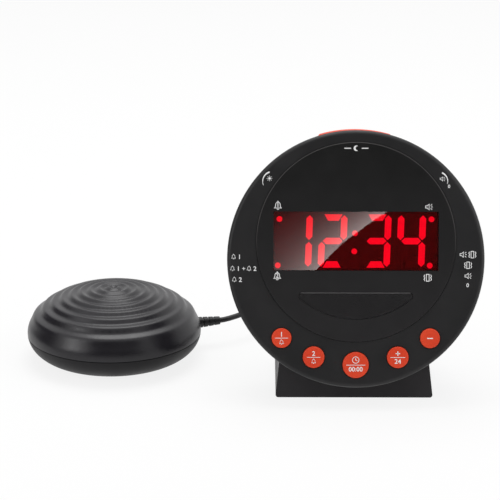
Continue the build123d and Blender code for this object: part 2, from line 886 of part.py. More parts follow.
# Back cover
bay_middle = (bay_top + bay_bottom) / 2
door_gap = moving_gap / 2
door_bottom = bay_bottom + moving_gap
door_top = bay_top + bay_wall / 2 - moving_gap
door_inner = cover_seat + door_gap
door_thickness = drum_depth - door_inner
hinge_up = door_bottom + door_thickness / 2
hinge_depth = drum_depth - door_thickness / 2
pin_radius = 0.5
pin_length = 1.0
cover_bore = 0.8


def door_pin_plane(side):
    """Plane at one end of the door, facing outwards along the door's pin."""
    place = world(side * (bay_half_width - moving_gap), hinge_up, hinge_depth)
    return Plane(origin=place, x_dir=face.y_dir, z_dir=(side, 0, 0))


with BuildPart() as back_cover:
    with BuildSketch(behind(drum_depth)):
        Circle(cover_radius - fit_gap)
        with Locations((0, cover_floor + fit_gap - disc_radius)):
            Rectangle(2 * disc_radius, 2 * disc_radius, mode=Mode.SUBTRACT)
    extrude(amount=cover_thickness)
    with BuildSketch(behind(cover_seat)):
        with Locations((0, bay_middle)):
            Rectangle(2 * (bay_half_width + bay_wall), bay_top - bay_bottom + 2 * bay_wall)
    extrude(amount=bay_depth + bay_wall)
    with BuildSketch(behind(cover_seat)):
        with Locations((0, bay_middle)):
            Rectangle(2 * bay_half_width, bay_top - bay_bottom)
    extrude(amount=bay_depth, mode=Mode.SUBTRACT)
    with BuildSketch(behind(drum_depth)):
        with Locations((0, bay_middle + bay_wall / 4)):
            Rectangle(2 * bay_half_width, bay_top - bay_bottom + bay_wall / 2)
        with Locations((-socket_across, socket_up), (socket_across, socket_up)):
            Circle(socket_nose + fit_gap)
        with Locations((socket_across, tone_up)):
            Circle(tone_shaft + moving_gap)
        with Locations(*cover_screw_places):
            Circle(screw_shank + fit_gap)
    extrude(amount=cover_thickness, mode=Mode.SUBTRACT)
    with BuildSketch(behind(drum_depth)):
        with Locations(*cover_screw_places):
            Circle(counterbore)
    extrude(amount=cover_bore, mode=Mode.SUBTRACT)
    slot_count = 2 * int((grille_radius - grille_slot) / grille_pitch) + 1
    with BuildSketch(behind(drum_depth)):
        for index in range(slot_count):
            across = (index - (slot_count - 1) / 2) * grille_pitch
            with Locations((across, speaker_up)):
                SlotOverall(2 * sqrt(grille_radius ** 2 - across ** 2) + grille_slot, grille_slot, rotation=90)
    extrude(amount=cover_thickness, mode=Mode.SUBTRACT)
    for side in (-1, 1):
        with BuildSketch(door_pin_plane(side)):
            Circle(pin_radius + shaft_gap)
        extrude(amount=pin_length + fit_gap / 2, mode=Mode.SUBTRACT)
back_cover.part.label = "back_cover"
export_step(back_cover.part, "parts/back_cover.step")

with BuildPart() as battery_door:
    with BuildSketch(behind(drum_depth)):
        with Locations((0, (door_top + door_bottom) / 2)):
            Rectangle(2 * (bay_half_width - moving_gap), door_top - door_bottom)
    extrude(amount=door_thickness)
    fillet(battery_door.edges().filter_by(Axis.X).group_by(up_face)[0], door_thickness / 2 - shaft_gap / 2)
    for index in range(door_ribs):
        with BuildSketch(behind(drum_depth)):
            with Locations((0, door_top - wall - index * bay_wall)):
                Rectangle(bay_half_width / 2, bay_wall / 2)
        extrude(amount=-bay_wall / 4)
    for side in (-1, 1):
        with BuildSketch(door_pin_plane(side)):
            Circle(pin_radius)
        extrude(amount=pin_length)
battery_door.part.label = "battery_door"
export_step(battery_door.part, "parts/battery_door.step")

with BuildPart() as battery_contacts:
    stud_plane = Plane(origin=world(bay_half_width - clip_thickness, bay_middle, cover_seat - bay_depth / 2),
                       x_dir=face.y_dir, z_dir=(-1, 0, 0))
    with BuildSketch(stud_plane):
        Rectangle(bay_top - bay_bottom - 2 * fit_gap, bay_depth - wall)
    extrude(amount=-(clip_thickness - fit_gap / 2))
    with BuildSketch(stud_plane):
        with Locations((-stud_half_gap, 0), (stud_half_gap, 0)):
            Circle(stud_radius)
    extrude(amount=stud_height)
battery_contacts.part.label = "battery_contacts"
export_step(battery_contacts.part, "parts/battery_contacts.step")

# Loudspeaker
speaker_axis = Axis(world(0, speaker_up, 0), face.z_dir)
speaker_plane = Plane(origin=world(0, speaker_up, cover_seat), x_dir=(1, 0, 0), z_dir=-face.y_dir)
rim_thickness = 1.5
basket_wall = 1.0


def speaker_ring(outline):
    """Turned solid about the loudspeaker's middle line, from places given across and forwards."""
    with BuildPart() as ring:
        with BuildSketch(speaker_plane):
            Polygon(*outline, align=None)
        revolve(axis=speaker_axis)
    return ring.part


basket_back = speaker_depth - basket_wall
cone_edge = speaker_radius - speaker_rim - fit_gap
cap_radius = magnet_radius / 2
speaker_frame = speaker_ring([
    (speaker_radius, 0), (speaker_radius, rim_thickness), (speaker_radius - basket_wall, rim_thickness),
    (magnet_radius + basket_wall, speaker_depth), (cap_radius, speaker_depth), (cap_radius, basket_back),
    (magnet_radius, basket_back), (speaker_radius - speaker_rim, rim_thickness),
    (speaker_radius - speaker_rim, 0)])
speaker_frame.label = "speaker_frame"
export_step(speaker_frame, "parts/speaker_frame.step")

speaker_cone = speaker_ring([
    (0, speaker_rim), (cap_radius, speaker_rim + rim_thickness), (cap_radius, speaker_rim + 2 * rim_thickness),
    (cone_edge - rim_thickness, fit_gap + cone_wall), (cone_edge, fit_gap + cone_wall), (cone_edge, fit_gap),
    (cone_edge - 2 * rim_thickness, fit_gap), (cap_radius, speaker_rim + cone_wall),
    (cap_radius / 2, speaker_rim - cone_wall), (0, speaker_rim - rim_thickness)])
speaker_cone.label = "speaker_cone"
export_step(speaker_cone, "parts/speaker_cone.step")

with BuildPart() as speaker_magnet:
    with BuildSketch(behind(cover_seat - speaker_depth)):
        with Locations((0, speaker_up)):
            Circle(magnet_radius)
    extrude(amount=magnet_depth)
speaker_magnet.part.label = "speaker_magnet"
export_step(speaker_magnet.part, "parts/speaker_magnet.step")

# Sockets
for name, side, bore, reach in (("dc_inlet", -1, inlet_bore, socket_deep - wall),
                                ("shaker_jack", 1, jack_bore, socket_deep + wall)):
    place = (side * socket_across, socket_up)
    with BuildPart() as socket:
        with BuildSketch(behind(cover_seat)):
            with Locations(place):
                Rectangle(socket_body, socket_body)
        extrude(amount=socket_deep)
        with BuildSketch(behind(drum_depth)):
            with Locations(place):
                Circle(socket_nose)
        extrude(amount=cover_thickness)
        with BuildSketch(behind(drum_depth)):
            with Locations(place):
                Circle(bore)
                if side < 0:
                    Circle(inlet_pin, mode=Mode.SUBTRACT)
        extrude(amount=reach, mode=Mode.SUBTRACT)
    socket.part.label = name
    export_step(socket.part, f"parts/{name}.step")

# Tone control
with BuildPart() as tone_pot:
    with BuildSketch(behind(cover_seat)):
        with Locations((socket_across, tone_up)):
            Circle(tone_pot_radius)
    extrude(amount=tone_pot_depth)
    with BuildSketch(behind(cover_seat)):
        with Locations((socket_across, tone_up)):
            Circle(tone_shaft)
    extrude(amount=-(cover_thickness + tone_height))
tone_pot.part.label = "tone_pot"
export_step(tone_pot.part, "parts/tone_pot.step")

with BuildPart() as tone_knob:
    with BuildSketch(behind(drum_depth + moving_gap)):
        with Locations((socket_across, tone_up)):
            Circle(tone_radius)
            with PolarLocations(tone_radius, wheel_notches):
                RegularPolygon(wheel_notch, 4, mode=Mode.SUBTRACT)
            Circle(tone_shaft + shaft_gap, mode=Mode.SUBTRACT)
    extrude(amount=-(tone_height - moving_gap))
    with BuildSketch(behind(drum_depth + tone_height)):
        with Locations((socket_across, tone_up + tone_radius * 0.6)):
            Rectangle(wheel_notch * 2, tone_radius * 0.6)
    extrude(amount=wheel_notch, mode=Mode.SUBTRACT)
tone_knob.part.label = "tone_knob"
export_step(tone_knob.part, "parts/tone_knob.step")

# Screws
housing_screws = screws(rearward(bezel_depth), boss_places)
housing_screws.label = "housing_screws"
export_step(housing_screws, "parts/housing_screws.step")

cover_screws = screws(rearward(drum_depth - cover_bore), cover_screw_places)
cover_screws.label = "cover_screws"
export_step(cover_screws, "parts/cover_screws.step")

board_screws = screws(rearward(board_back), post_places)
board_screws.label = "board_screws"
export_step(board_screws, "parts/board_screws.step")

under_snooze = Plane(origin=world(0, snooze_board_up, snooze_middle), x_dir=face.x_dir, z_dir=-face.y_dir)
snooze_screws = screws(under_snooze, [(-snooze_post_across, 0), (snooze_post_across, 0)])
snooze_screws.label = "snooze_screws"
export_step(snooze_screws, "parts/snooze_screws.step")

under_base = Plane(origin=(0, 0, base_seat), x_dir=(1, 0, 0), z_dir=(0, 0, -1))
base_screws = screws(under_base, [(across, -back) for across, back in stand_boss_places])
base_screws.label = "base_screws"
export_step(base_screws, "parts/base_screws.step")

# Shaker
dome_rise = shaker_height - shaker_waist
base_drop = shaker_waist - pad_lift
shaker_axis = Axis((shaker_x, shaker_y, 0), (0, 0, 1))
side_view = Plane(origin=(shaker_x, shaker_y, 0), x_dir=(1, 0, 0), z_dir=(0, -1, 0))


def dome_point(radius, bump, outer_radius, rise):
    """Point of the dome's side view, moved out along the normal by a bump."""
    share = radius / outer_radius
    rest = 1 - share ** dome_power
    height = shaker_waist + rise * rest ** (1 / dome_power)
    slope = -rise / outer_radius * share ** (dome_power - 1) * rest ** (1 / dome_power - 1)
    length = hypot(1, slope)
    return (radius - bump * slope / length, height + bump / length)


def lower_point(angle, inset):
    """Point of the shaker's lower side view, from the waist at 0 down to the flat at 90."""
    across_share = cos(radians(angle)) ** (2 / lower_power)
    down_share = sin(radians(angle)) ** (2 / lower_power)
    return (floor_radius + (shaker_radius - inset - floor_radius) * across_share,
            shaker_waist - (base_drop - inset) * down_share)


def lower_angle(height, inset):
    """Angle at which the lower side view passes a height."""
    return degrees(asin(((shaker_waist - height) / (base_drop - inset)) ** (lower_power / 2)))


seam_top = seam_height + seam_gap / 2
seam_base = seam_height - seam_gap / 2
inner_radius = shaker_radius - dome_wall
crests = []
for index in range(2 * ripple_count + 2):
    sign = -1 if index % 2 == 0 else 1
    crests.append(dome_point(index * ripple_pitch / 2, sign * ripple_height, shaker_radius, dome_rise))
shoulder_shares = (0.952, 0.985)
shoulder = [dome_point(shaker_radius * share, 0, shaker_radius, dome_rise) for share in shoulder_shares]
dome_line = crests + shoulder + [(shaker_radius, shaker_waist)]
inner_shares = (0, 0.25, 0.5, 0.7, 0.85, 0.94, 0.985)
inner_line = [dome_point(inner_radius * share, 0, inner_radius, dome_rise - dome_wall) for share in inner_shares]
inner_line.append((inner_radius, shaker_waist))
seam_corner = lower_point(lower_angle(seam_top, 0), 0)
ring_directions = (45, 135, 225, 315)
dome_boss_places = [(shaker_x + dome_boss_ring * cos(radians(angle)),
                     shaker_y + dome_boss_ring * sin(radians(angle))) for angle in ring_directions]
pad_places = [(shaker_x + pad_ring * cos(radians(angle)),
               shaker_y + pad_ring * sin(radians(angle))) for angle in ring_directions]
relief_out = Vector(cos(radians(relief_angle)), sin(radians(relief_angle)), 0)
relief_side = Vector(-sin(radians(relief_angle)), cos(radians(relief_angle)), 0)
shaker_middle = Vector(shaker_x, shaker_y, seam_height)


def relief_plane(radius):
    """Plane facing outwards at the strain relief, a distance from the shaker's middle line."""
    return Plane(origin=shaker_middle + relief_out * radius, x_dir=relief_side, z_dir=relief_out)


with BuildPart() as shaker_dome:
    with BuildSketch(side_view):
        with BuildLine():
            Spline(*dome_line, tangents=((1, 0), (0, -1)), tangent_scalars=(1, 1))
            Line((shaker_radius, shaker_waist), seam_corner)
            Line(seam_corner, (inner_radius, seam_top))
            Line((inner_radius, seam_top), (inner_radius, shaker_waist))
            Spline(*inner_line, tangents=((1, 0), (0, -1)), tangent_scalars=(1, 1))
            Line(inner_line[0], dome_line[0])
        make_face()
    revolve(axis=shaker_axis)
    with BuildSketch(Plane.XY.offset(dome_boss_base)):
        with Locations(*dome_boss_places):
            Circle(dome_boss_radius)
            Circle(pilot_radius, mode=Mode.SUBTRACT)
    extrude(amount=dome_boss_top - dome_boss_base)
    with BuildSketch(relief_plane(inner_radius - wall)):
        Circle(relief_tip + fit_gap)
    extrude(amount=2 * wall + dome_wall, mode=Mode.SUBTRACT)
shaker_dome.part.label = "shaker_dome"
export_step(shaker_dome.part, "parts/shaker_dome.step")

tongue_outer = inner_radius - fit_gap
tongue_wall = 1.2
tongue_top = seam_top + dome_wall
boss_foot_top = dome_boss_base - fit_gap
shaker_seat = pad_lift + 2 * screw_head_height
lower_line = [lower_point(angle, 0) for angle in (90, 78, 64, 50, 36, 24, 14)]
lower_line.append(lower_point(lower_angle(seam_base, 0), 0))
lower_inner = [lower_point(angle, dome_wall + tongue_wall + fit_gap) for angle in (0, 14, 24, 36, 50, 64, 78, 90)]
with BuildPart() as shaker_base:
    with BuildSketch(side_view):
        with BuildLine():
            Line((0, pad_lift), lower_line[0])
            Spline(*lower_line)
            Polyline(lower_line[-1], (tongue_outer, seam_base), (tongue_outer, tongue_top),
                     (tongue_outer - tongue_wall, tongue_top), lower_inner[0])
            Spline(*lower_inner, tangents=((0, -1), (-1, 0)), tangent_scalars=(1, 1))
            Polyline(lower_inner[-1], (0, lower_inner[-1][1]), (0, pad_lift))
        make_face()
    revolve(axis=shaker_axis)
    # Saddle for the motor
    with BuildSketch(Plane.XY.offset(pad_lift + dome_wall)):
        with Locations((shaker_x + motor_start + motor_length / 2, shaker_y)):
            Rectangle(motor_length - 2 * dome_wall, 2 * cradle_half)
    extrude(amount=motor_up - pad_lift - 2 * dome_wall)
    with BuildSketch(Plane.YZ.offset(shaker_x)):
        with Locations((shaker_y, motor_up)):
            Circle(motor_radius + fit_gap)
    extrude(amount=motor_length, both=True, mode=Mode.SUBTRACT)
    with BuildSketch(Plane.XY.offset(motor_up - dome_wall)):
        with Locations(*[(shaker_x + motor_start + motor_length / 2, shaker_y + side * clamp_screw_across)
                         for side in (-1, 1)]):
            Circle(pilot_radius)
    extrude(amount=-screw_length, mode=Mode.SUBTRACT)
    # Feet of the dome's bosses, and their screw holes
    with BuildSketch(Plane.XY.offset(pad_lift + dome_wall)):
        with Locations(*dome_boss_places):
            Circle(dome_boss_radius + wall / 2)
    extrude(amount=boss_foot_top - pad_lift - dome_wall)
    with BuildSketch():
        with Locations(*dome_boss_places):
            Circle(screw_shank + fit_gap)
    extrude(amount=dome_boss_base, mode=Mode.SUBTRACT)
    with BuildSketch():
        with Locations(*dome_boss_places):
            Circle(counterbore)
    extrude(amount=shaker_seat, mode=Mode.SUBTRACT)
    with BuildSketch():
        with Locations(*pad_places):
            Circle(pad_radius + fit_gap / 2)
    extrude(amount=pad_lift + pad_lift / 2, mode=Mode.SUBTRACT)
    with BuildSketch(relief_plane(inner_radius - 2 * wall)):
        Circle(relief_tip + fit_gap)
    extrude(amount=3 * wall + dome_wall, mode=Mode.SUBTRACT)
shaker_base.part.label = "shaker_base"
export_step(shaker_base.part, "parts/shaker_base.step")

with BuildPart() as shaker_pads:
    with BuildSketch():
        with Locations(*pad_places):
            Circle(pad_radius)
    extrude(amount=pad_lift + pad_lift / 2)
shaker_pads.part.label = "shaker_pads"
export_step(shaker_pads.part, "parts/shaker_pads.step")

under_shaker = Plane(origin=(0, 0, shaker_seat), x_dir=(1, 0, 0), z_dir=(0, 0, -1))
shaker_screws = screws(under_shaker, [(across, -back) for across, back in dome_boss_places])
shaker_screws.label = "shaker_screws"
export_step(shaker_screws, "parts/shaker_screws.step")

with BuildPart() as shaker_motor:
    with BuildSketch(Plane.YZ.offset(shaker_x + motor_start)):
        with Locations((shaker_y, motor_up)):
            Circle(motor_radius)
    extrude(amount=motor_length)
    fillet(shaker_motor.edges().filter_by(GeomType.CIRCLE), back_round)
    with BuildSketch(Plane.YZ.offset(shaker_x + motor_start + motor_length)):
        with Locations((shaker_y, motor_up)):
            Circle(motor_shaft)
    extrude(amount=motor_shaft_length)
shaker_motor.part.label = "shaker_motor"
export_step(shaker_motor.part, "parts/shaker_motor.step")

with BuildPart() as eccentric_weight:
    with BuildSketch(Plane.YZ.offset(shaker_x + weight_start)):
        with Locations((shaker_y, motor_up)):
            Circle(weight_radius)
        with Locations((shaker_y, motor_up + weight_radius)):
            Rectangle(2 * weight_radius, 2 * weight_radius, mode=Mode.SUBTRACT)
        with Locations((shaker_y, motor_up)):
            Circle(weight_hub)
            Circle(motor_shaft + shaft_gap, mode=Mode.SUBTRACT)
    extrude(amount=weight_length)
eccentric_weight.part.label = "eccentric_weight"
export_step(eccentric_weight.part, "parts/eccentric_weight.step")

clamp_middle = shaker_x + motor_start + motor_length / 2
clamp_inner = motor_radius + fit_gap
with BuildPart() as motor_clamp:
    with BuildSketch(Plane.YZ.offset(clamp_middle)):
        with Locations((shaker_y, motor_up)):
            Circle(clamp_inner + clamp_wall)
        with Locations((shaker_y, motor_up - dome_wall + clamp_lug / 2)):
            Rectangle(2 * cradle_half, clamp_lug)
        with Locations((shaker_y, motor_up)):
            Circle(clamp_inner, mode=Mode.SUBTRACT)
        with Locations((shaker_y, motor_up - dome_wall - motor_radius)):
            Rectangle(2 * cradle_half, 2 * motor_radius, mode=Mode.SUBTRACT)
    extrude(amount=clamp_width / 2, both=True)
    with BuildSketch(Plane.XY.offset(motor_up - dome_wall)):
        with Locations((clamp_middle, shaker_y - clamp_screw_across), (clamp_middle, shaker_y + clamp_screw_across)):
            Circle(screw_shank + fit_gap)
    extrude(amount=clamp_lug, mode=Mode.SUBTRACT)
motor_clamp.part.label = "motor_clamp"
export_step(motor_clamp.part, "parts/motor_clamp.step")

clamp_screws = screws(Plane.XY.offset(motor_up - dome_wall + clamp_lug),
                      [(clamp_middle, shaker_y - clamp_screw_across), (clamp_middle, shaker_y + clamp_screw_across)])
clamp_screws.label = "clamp_screws"
export_step(clamp_screws, "parts/clamp_screws.step")

relief_start = shaker_radius + fit_gap
relief_end = relief_start + relief_length
collar_start = tongue_outer - tongue_wall - relief_collar + relief_flange
with BuildPart() as strain_relief:
    with BuildSketch(relief_plane(relief_start)):
        Circle(relief_radius)
    extrude(amount=relief_length, taper=degrees((relief_radius - relief_tip) / relief_length))
    for index in range(relief_ribs):
        start = relief_start + relief_rib_width + index * (relief_rib_width + relief_groove)
        with BuildSketch(relief_plane(start)):
            Circle(relief_radius + relief_groove)
            Circle(relief_radius - relief_groove, mode=Mode.SUBTRACT)
        extrude(amount=relief_groove, mode=Mode.SUBTRACT)
    with BuildSketch(relief_plane(collar_start)):
        Circle(relief_tip)
    extrude(amount=relief_start - collar_start)
    with BuildSketch(relief_plane(collar_start)):
        Circle(relief_collar)
    extrude(amount=relief_flange)
strain_relief.part.label = "strain_relief"
export_step(strain_relief.part, "parts/strain_relief.step")


# Cord
def by_clock(across, back, up):
    """Point given from the place on the floor below the middle of the clock's front."""
    return Vector(clock_x + across, clock_y + back, up)


cord_radius = cord_diameter / 2
layer_turns = coil_turns / coil_layers
coil_half_width = (layer_turns - coil_ramp) * coil_step / 2
coil_outer = coil_radius + coil_half_width
coil_start = coil_outer + coil_ramp * coil_step
relief_point = Vector(shaker_x, shaker_y, seam_height) + relief_out * relief_end
coil_top = cord_lift + (coil_layers - 1) * coil_step
plug_end = world(socket_across, socket_up, drum_depth + plug_gap + plug_length)
run_points = [
    relief_point,
    relief_point + relief_out * run_start,
    by_clock(*run_high),
    by_clock(*run_low),
    by_clock(run_landing, coil_behind + coil_start, cord_lift),
    by_clock(coil_across, coil_behind + coil_start, cord_lift)]
tail_points = [
    by_clock(coil_across, coil_behind + coil_outer, coil_top),
    by_clock(tail_leaving, coil_behind + coil_outer, coil_top),
    by_clock(*tail_corner),
    by_clock(*tail_high),
    plug_end - face.z_dir * tail_end,
    plug_end]


def bend_radii(points):
    """Bend at each inner point: nearly half of the shorter run goes into each curve."""
    found = []
    for before, here, after in zip(points, points[1:], points[2:]):
        turn = radians((here - before).get_angle(after - here))
        found.append(0.45 * min((here - before).length, (after - here).length) / tan(turn / 2))
    return found


def cord_solid(path):
    """Round cord along a line."""
    with BuildPart() as cord:
        with BuildLine():
            add(path)
        with BuildSketch(Plane(origin=path @ 0, z_dir=path % 0)):
            Circle(cord_radius)
        sweep()
    return cord.part


def bent_line(points):
    """Straight runs joined by the bends above."""
    with BuildLine() as line:
        FilletPolyline(*points, radius=bend_radii(points))
    print("bends", [round(radius, 1) for radius in bend_radii(points)])
    return line.wires()[0]


def coil_place(turns):
    """Point of the coil's middle line and its heading, a number of turns from its start."""
    layer = min(int(turns / layer_turns), coil_layers - 1)
    since = turns - layer * layer_turns - coil_ramp
    moved = since if layer == 0 else max(since, 0)
    climbed = layer if turns > layer * layer_turns or layer == 0 else layer - 1
    inward = moved if layer % 2 == 0 else layer_turns - coil_ramp - moved
    radius = coil_outer - coil_step * inward
    angle = radians(90 - 360 * turns)
    point = by_clock(coil_across + radius * cos(angle), coil_behind + radius * sin(angle),
                     cord_lift + coil_step * climbed)
    steady = since == -coil_ramp or since == 0 or turns == coil_turns
    drift = 0 if steady else (-1 if layer % 2 == 0 else 1) * coil_step / (2 * pi * radius)
    heading = Vector(sin(angle) + drift * cos(angle), -cos(angle) + drift * sin(angle), 0)
    return point, heading.normalized()


def coil_line():
    """The coil as pairs of arcs, one pair for each quarter of a turn."""
    with BuildLine() as line:
        for quarter in range(4 * coil_turns):
            first, heading = coil_place(quarter / 4)
            last, leaving = coil_place((quarter + 1) / 4)
            chord = last - first
            both = heading + leaving
            spread = 2 * (1 - heading.dot(leaving))
            reach = (sqrt(chord.dot(both) ** 2 + spread * chord.dot(chord)) - chord.dot(both)) / spread
            out_end = first + heading * reach
            in_end = last - leaving * reach
            middle = (out_end + in_end) * 0.5
            TangentArc(first, middle, tangent=heading)
            TangentArc(middle, last, tangent=in_end - out_end)
    return line.wires()[0]


def least_gap(line):
    """Least distance between the surfaces of neighbouring turns."""
    count = 12 * coil_turns * 4
    spots = [line @ (index / count) for index in range(count + 1)]
    apart = int(count / coil_turns / 3)
    least = line.length
    for index, spot in enumerate(spots):
        for other in spots[index + apart:index + 6 * apart]:
            least = min(least, (spot - other).length)
    return least - cord_diameter


run_line = bent_line(run_points)
cord_run = cord_solid(run_line)
cord_run.label = "cord_run"
export_step(cord_run, "parts/cord_run.step")

turns_line = coil_line()
cord_coil = cord_solid(turns_line)
cord_coil.label = "cord_coil"
export_step(cord_coil, "parts/cord_coil.step")

tail_line = bent_line(tail_points)
cord_tail = cord_solid(tail_line)
cord_tail.label = "cord_tail"
export_step(cord_tail, "parts/cord_tail.step")

cord_area = pi * cord_radius ** 2
for name, line, solid in (("run", run_line, cord_run), ("coil", turns_line, cord_coil),
                          ("tail", tail_line, cord_tail)):
    print(name, "length", round(line.length, 1), "volume ratio", round(solid.volume / (line.length * cord_area), 4))
print("cord length", round(run_line.length + turns_line.length + tail_line.length, 1))
print("least gap in the coil", round(least_gap(turns_line), 2))

with BuildPart() as shaker_plug:
    with BuildSketch(behind(drum_depth + plug_gap)):
        with Locations((socket_across, socket_up)):
            Circle(plug_grip)
    extrude(amount=-plug_grip_length)
    with BuildSketch(behind(drum_depth + plug_gap + plug_grip_length)):
        with Locations((socket_across, socket_up)):
            Circle(plug_grip - back_round)
    with BuildSketch(behind(drum_depth + plug_gap + plug_length)):
        with Locations((socket_across, socket_up)):
            Circle(plug_neck)
    loft()
    with BuildSketch(behind(drum_depth + plug_gap)):
        with Locations((socket_across, socket_up)):
            Circle(plug_pin)
    extrude(amount=plug_pin_length)
shaker_plug.part.label = "shaker_plug"
export_step(shaker_plug.part, "parts/shaker_plug.step")
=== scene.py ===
import json
import math

import bmesh
import bpy
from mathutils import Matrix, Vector
from mathutils.bvhtree import BVHTree


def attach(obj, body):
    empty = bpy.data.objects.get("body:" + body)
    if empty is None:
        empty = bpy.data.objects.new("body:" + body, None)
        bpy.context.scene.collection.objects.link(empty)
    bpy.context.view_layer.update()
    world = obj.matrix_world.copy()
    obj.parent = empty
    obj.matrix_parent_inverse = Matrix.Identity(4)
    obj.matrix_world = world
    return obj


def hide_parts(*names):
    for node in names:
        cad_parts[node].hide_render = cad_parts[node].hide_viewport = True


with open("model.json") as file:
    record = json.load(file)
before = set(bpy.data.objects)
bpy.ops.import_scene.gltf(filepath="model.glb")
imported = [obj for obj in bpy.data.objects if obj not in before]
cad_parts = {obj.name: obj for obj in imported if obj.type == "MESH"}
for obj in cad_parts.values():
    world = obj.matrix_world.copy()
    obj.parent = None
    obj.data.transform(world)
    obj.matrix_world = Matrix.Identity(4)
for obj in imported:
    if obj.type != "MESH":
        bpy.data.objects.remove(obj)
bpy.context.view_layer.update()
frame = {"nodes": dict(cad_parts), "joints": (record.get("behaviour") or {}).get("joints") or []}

MM = 0.001
ROOT = "clock_and_shaker"


def reach(node, way):
    """Least and greatest place of a node in a direction, in millimetres."""
    places = [corner.co.dot(way) / MM for corner in frame["nodes"][node].data.vertices]
    return min(places), max(places)


def middle_of(node, way):
    """Middle of a node in a direction, in millimetres."""
    return sum(reach(node, way)) / 2


# The round front leans back, and its buttons travel straight into it. Places on it are given in millimetres
# across, up and behind its middle. The panel's middle lies above it, and the lens has a hidden rim.
PANEL_UP = 9.3
LENS_RIM = 1.6
press = next(joint for joint in frame["joints"] if joint["name"] == "time_press")
ACROSS = Vector((1, 0, 0))
OUT = -Vector(press["axis"]).normalized()
UP = OUT.cross(ACROSS)
FACE = (ACROSS * middle_of("face_panel", ACROSS) + UP * (middle_of("face_panel", UP) - PANEL_UP)
        + OUT * reach("front_bezel", OUT)[1])
PANEL_RADIUS = reach("face_panel", ACROSS)[1] - middle_of("face_panel", ACROSS)
LENS_TOP = reach("alert_lens", UP)[1] - LENS_RIM
WINDOW_PROUD = reach("display_window", OUT)[1] - FACE.dot(OUT)


def on_face(across, up, depth=0.0):
    """Point in metres of a place on or behind the round front."""
    return (FACE + ACROSS * across + UP * up - OUT * depth) * MM


def by_clock(right, back, height):
    """Point in metres given from the ground point under the middle of the front."""
    return Vector((FACE.x + right, FACE.y + back, height)) * MM


def add_object(name, data):
    """New object in the scene."""
    made = bpy.data.objects.new(name, data)
    bpy.context.collection.objects.link(made)
    return made


def bridge(bm, first, second):
    """Ring of faces between two closed rows of vertices."""
    for index in range(len(first)):
        beyond = (index + 1) % len(first)
        bm.faces.new((first[index], first[beyond], second[beyond], second[index]))


# Camera: place from the ground point under the front in millimetres, angles in degrees
CAMERA_SENSOR = 36.0
CAMERA_LENS = 139.97
CAMERA_PLACE = (-51.2, -1000.0, 415.5)
CAMERA_DOWN = 18.3
CAMERA_TURN = 0.36
CAMERA_NEAR = 0.05
CAMERA_FAR = 50.0

camera_data = bpy.data.cameras.new("camera")
camera_data.sensor_width = CAMERA_SENSOR
camera_data.lens = CAMERA_LENS
camera_data.clip_start = CAMERA_NEAR
camera_data.clip_end = CAMERA_FAR
camera = add_object("camera", camera_data)
camera.location = by_clock(*CAMERA_PLACE)
camera.rotation_euler = (math.radians(90 - CAMERA_DOWN), 0.0, math.radians(CAMERA_TURN))
bpy.context.scene.camera = camera

# Cord: it leaves the shaker, passes behind the clock, is wound into a coil and ends in the plug
CORD_RADIUS = 1.6
CORD_LIFT = 1.7
CORD_SMOOTHNESS = 4
COIL_ACROSS = 13.6
COIL_BEHIND = 99.6
COIL_STEP = 3.9
COIL_LAYERS = 4
COIL_TURNS = 14
COIL_RAMP = 0.25
COIL_OUTER = 24.5875
COIL_POINTS = 16
SHAKER = Vector((-78.25, 14.7134, 0.0))
RELIEF_ANGLE = math.radians(17.0)
RELIEF_REACH = 63.5
RELIEF_HEIGHT = 14.9
RUN_START = 5.0
RUN_HIGH = (-54.0, 95.0, 16.4)
RUN_LOW = (-36.0, 114.5, 6.0)
RUN_LANDING = -8.0
TAIL_LEAVING = 31.0
TAIL_CORNER = (43.0, 108.5, 17.0)
TAIL_HIGH = (42.0, 88.0, 27.0)
TAIL_END = 12.8
PLUG_ACROSS = 38.0
PLUG_UP = -19.0
PLUG_BEHIND = 70.2
relief_out = Vector((math.cos(RELIEF_ANGLE), math.sin(RELIEF_ANGLE), 0))
relief_tip = SHAKER + relief_out * RELIEF_REACH + Vector((0, 0, RELIEF_HEIGHT))
coil_start = COIL_OUTER + COIL_STEP * COIL_RAMP
coil_top = CORD_LIFT + COIL_STEP * (COIL_LAYERS - 1)


def coil_point(turns):
    """Control point of the coil, a number of turns from its start at the bottom."""
    layer_turns = COIL_TURNS / COIL_LAYERS
    layer = min(int(turns / layer_turns), COIL_LAYERS - 1)
    since = turns - layer * layer_turns
    if layer == 0:
        inward = since - COIL_RAMP
        rise = 0.0
    else:
        moved = max(since - COIL_RAMP, 0.0)
        inward = moved if layer % 2 == 0 else layer_turns - COIL_RAMP - moved
        rise = layer - 1 + min(since / COIL_RAMP, 1.0)
    bulge = 2 / (1 + math.cos(math.pi / COIL_POINTS))
    radius = (COIL_OUTER - COIL_STEP * inward) * bulge
    angle = math.radians(90) - 2 * math.pi * turns
    return by_clock(COIL_ACROSS + radius * math.cos(angle), COIL_BEHIND + radius * math.sin(angle),
                    CORD_LIFT + COIL_STEP * rise)


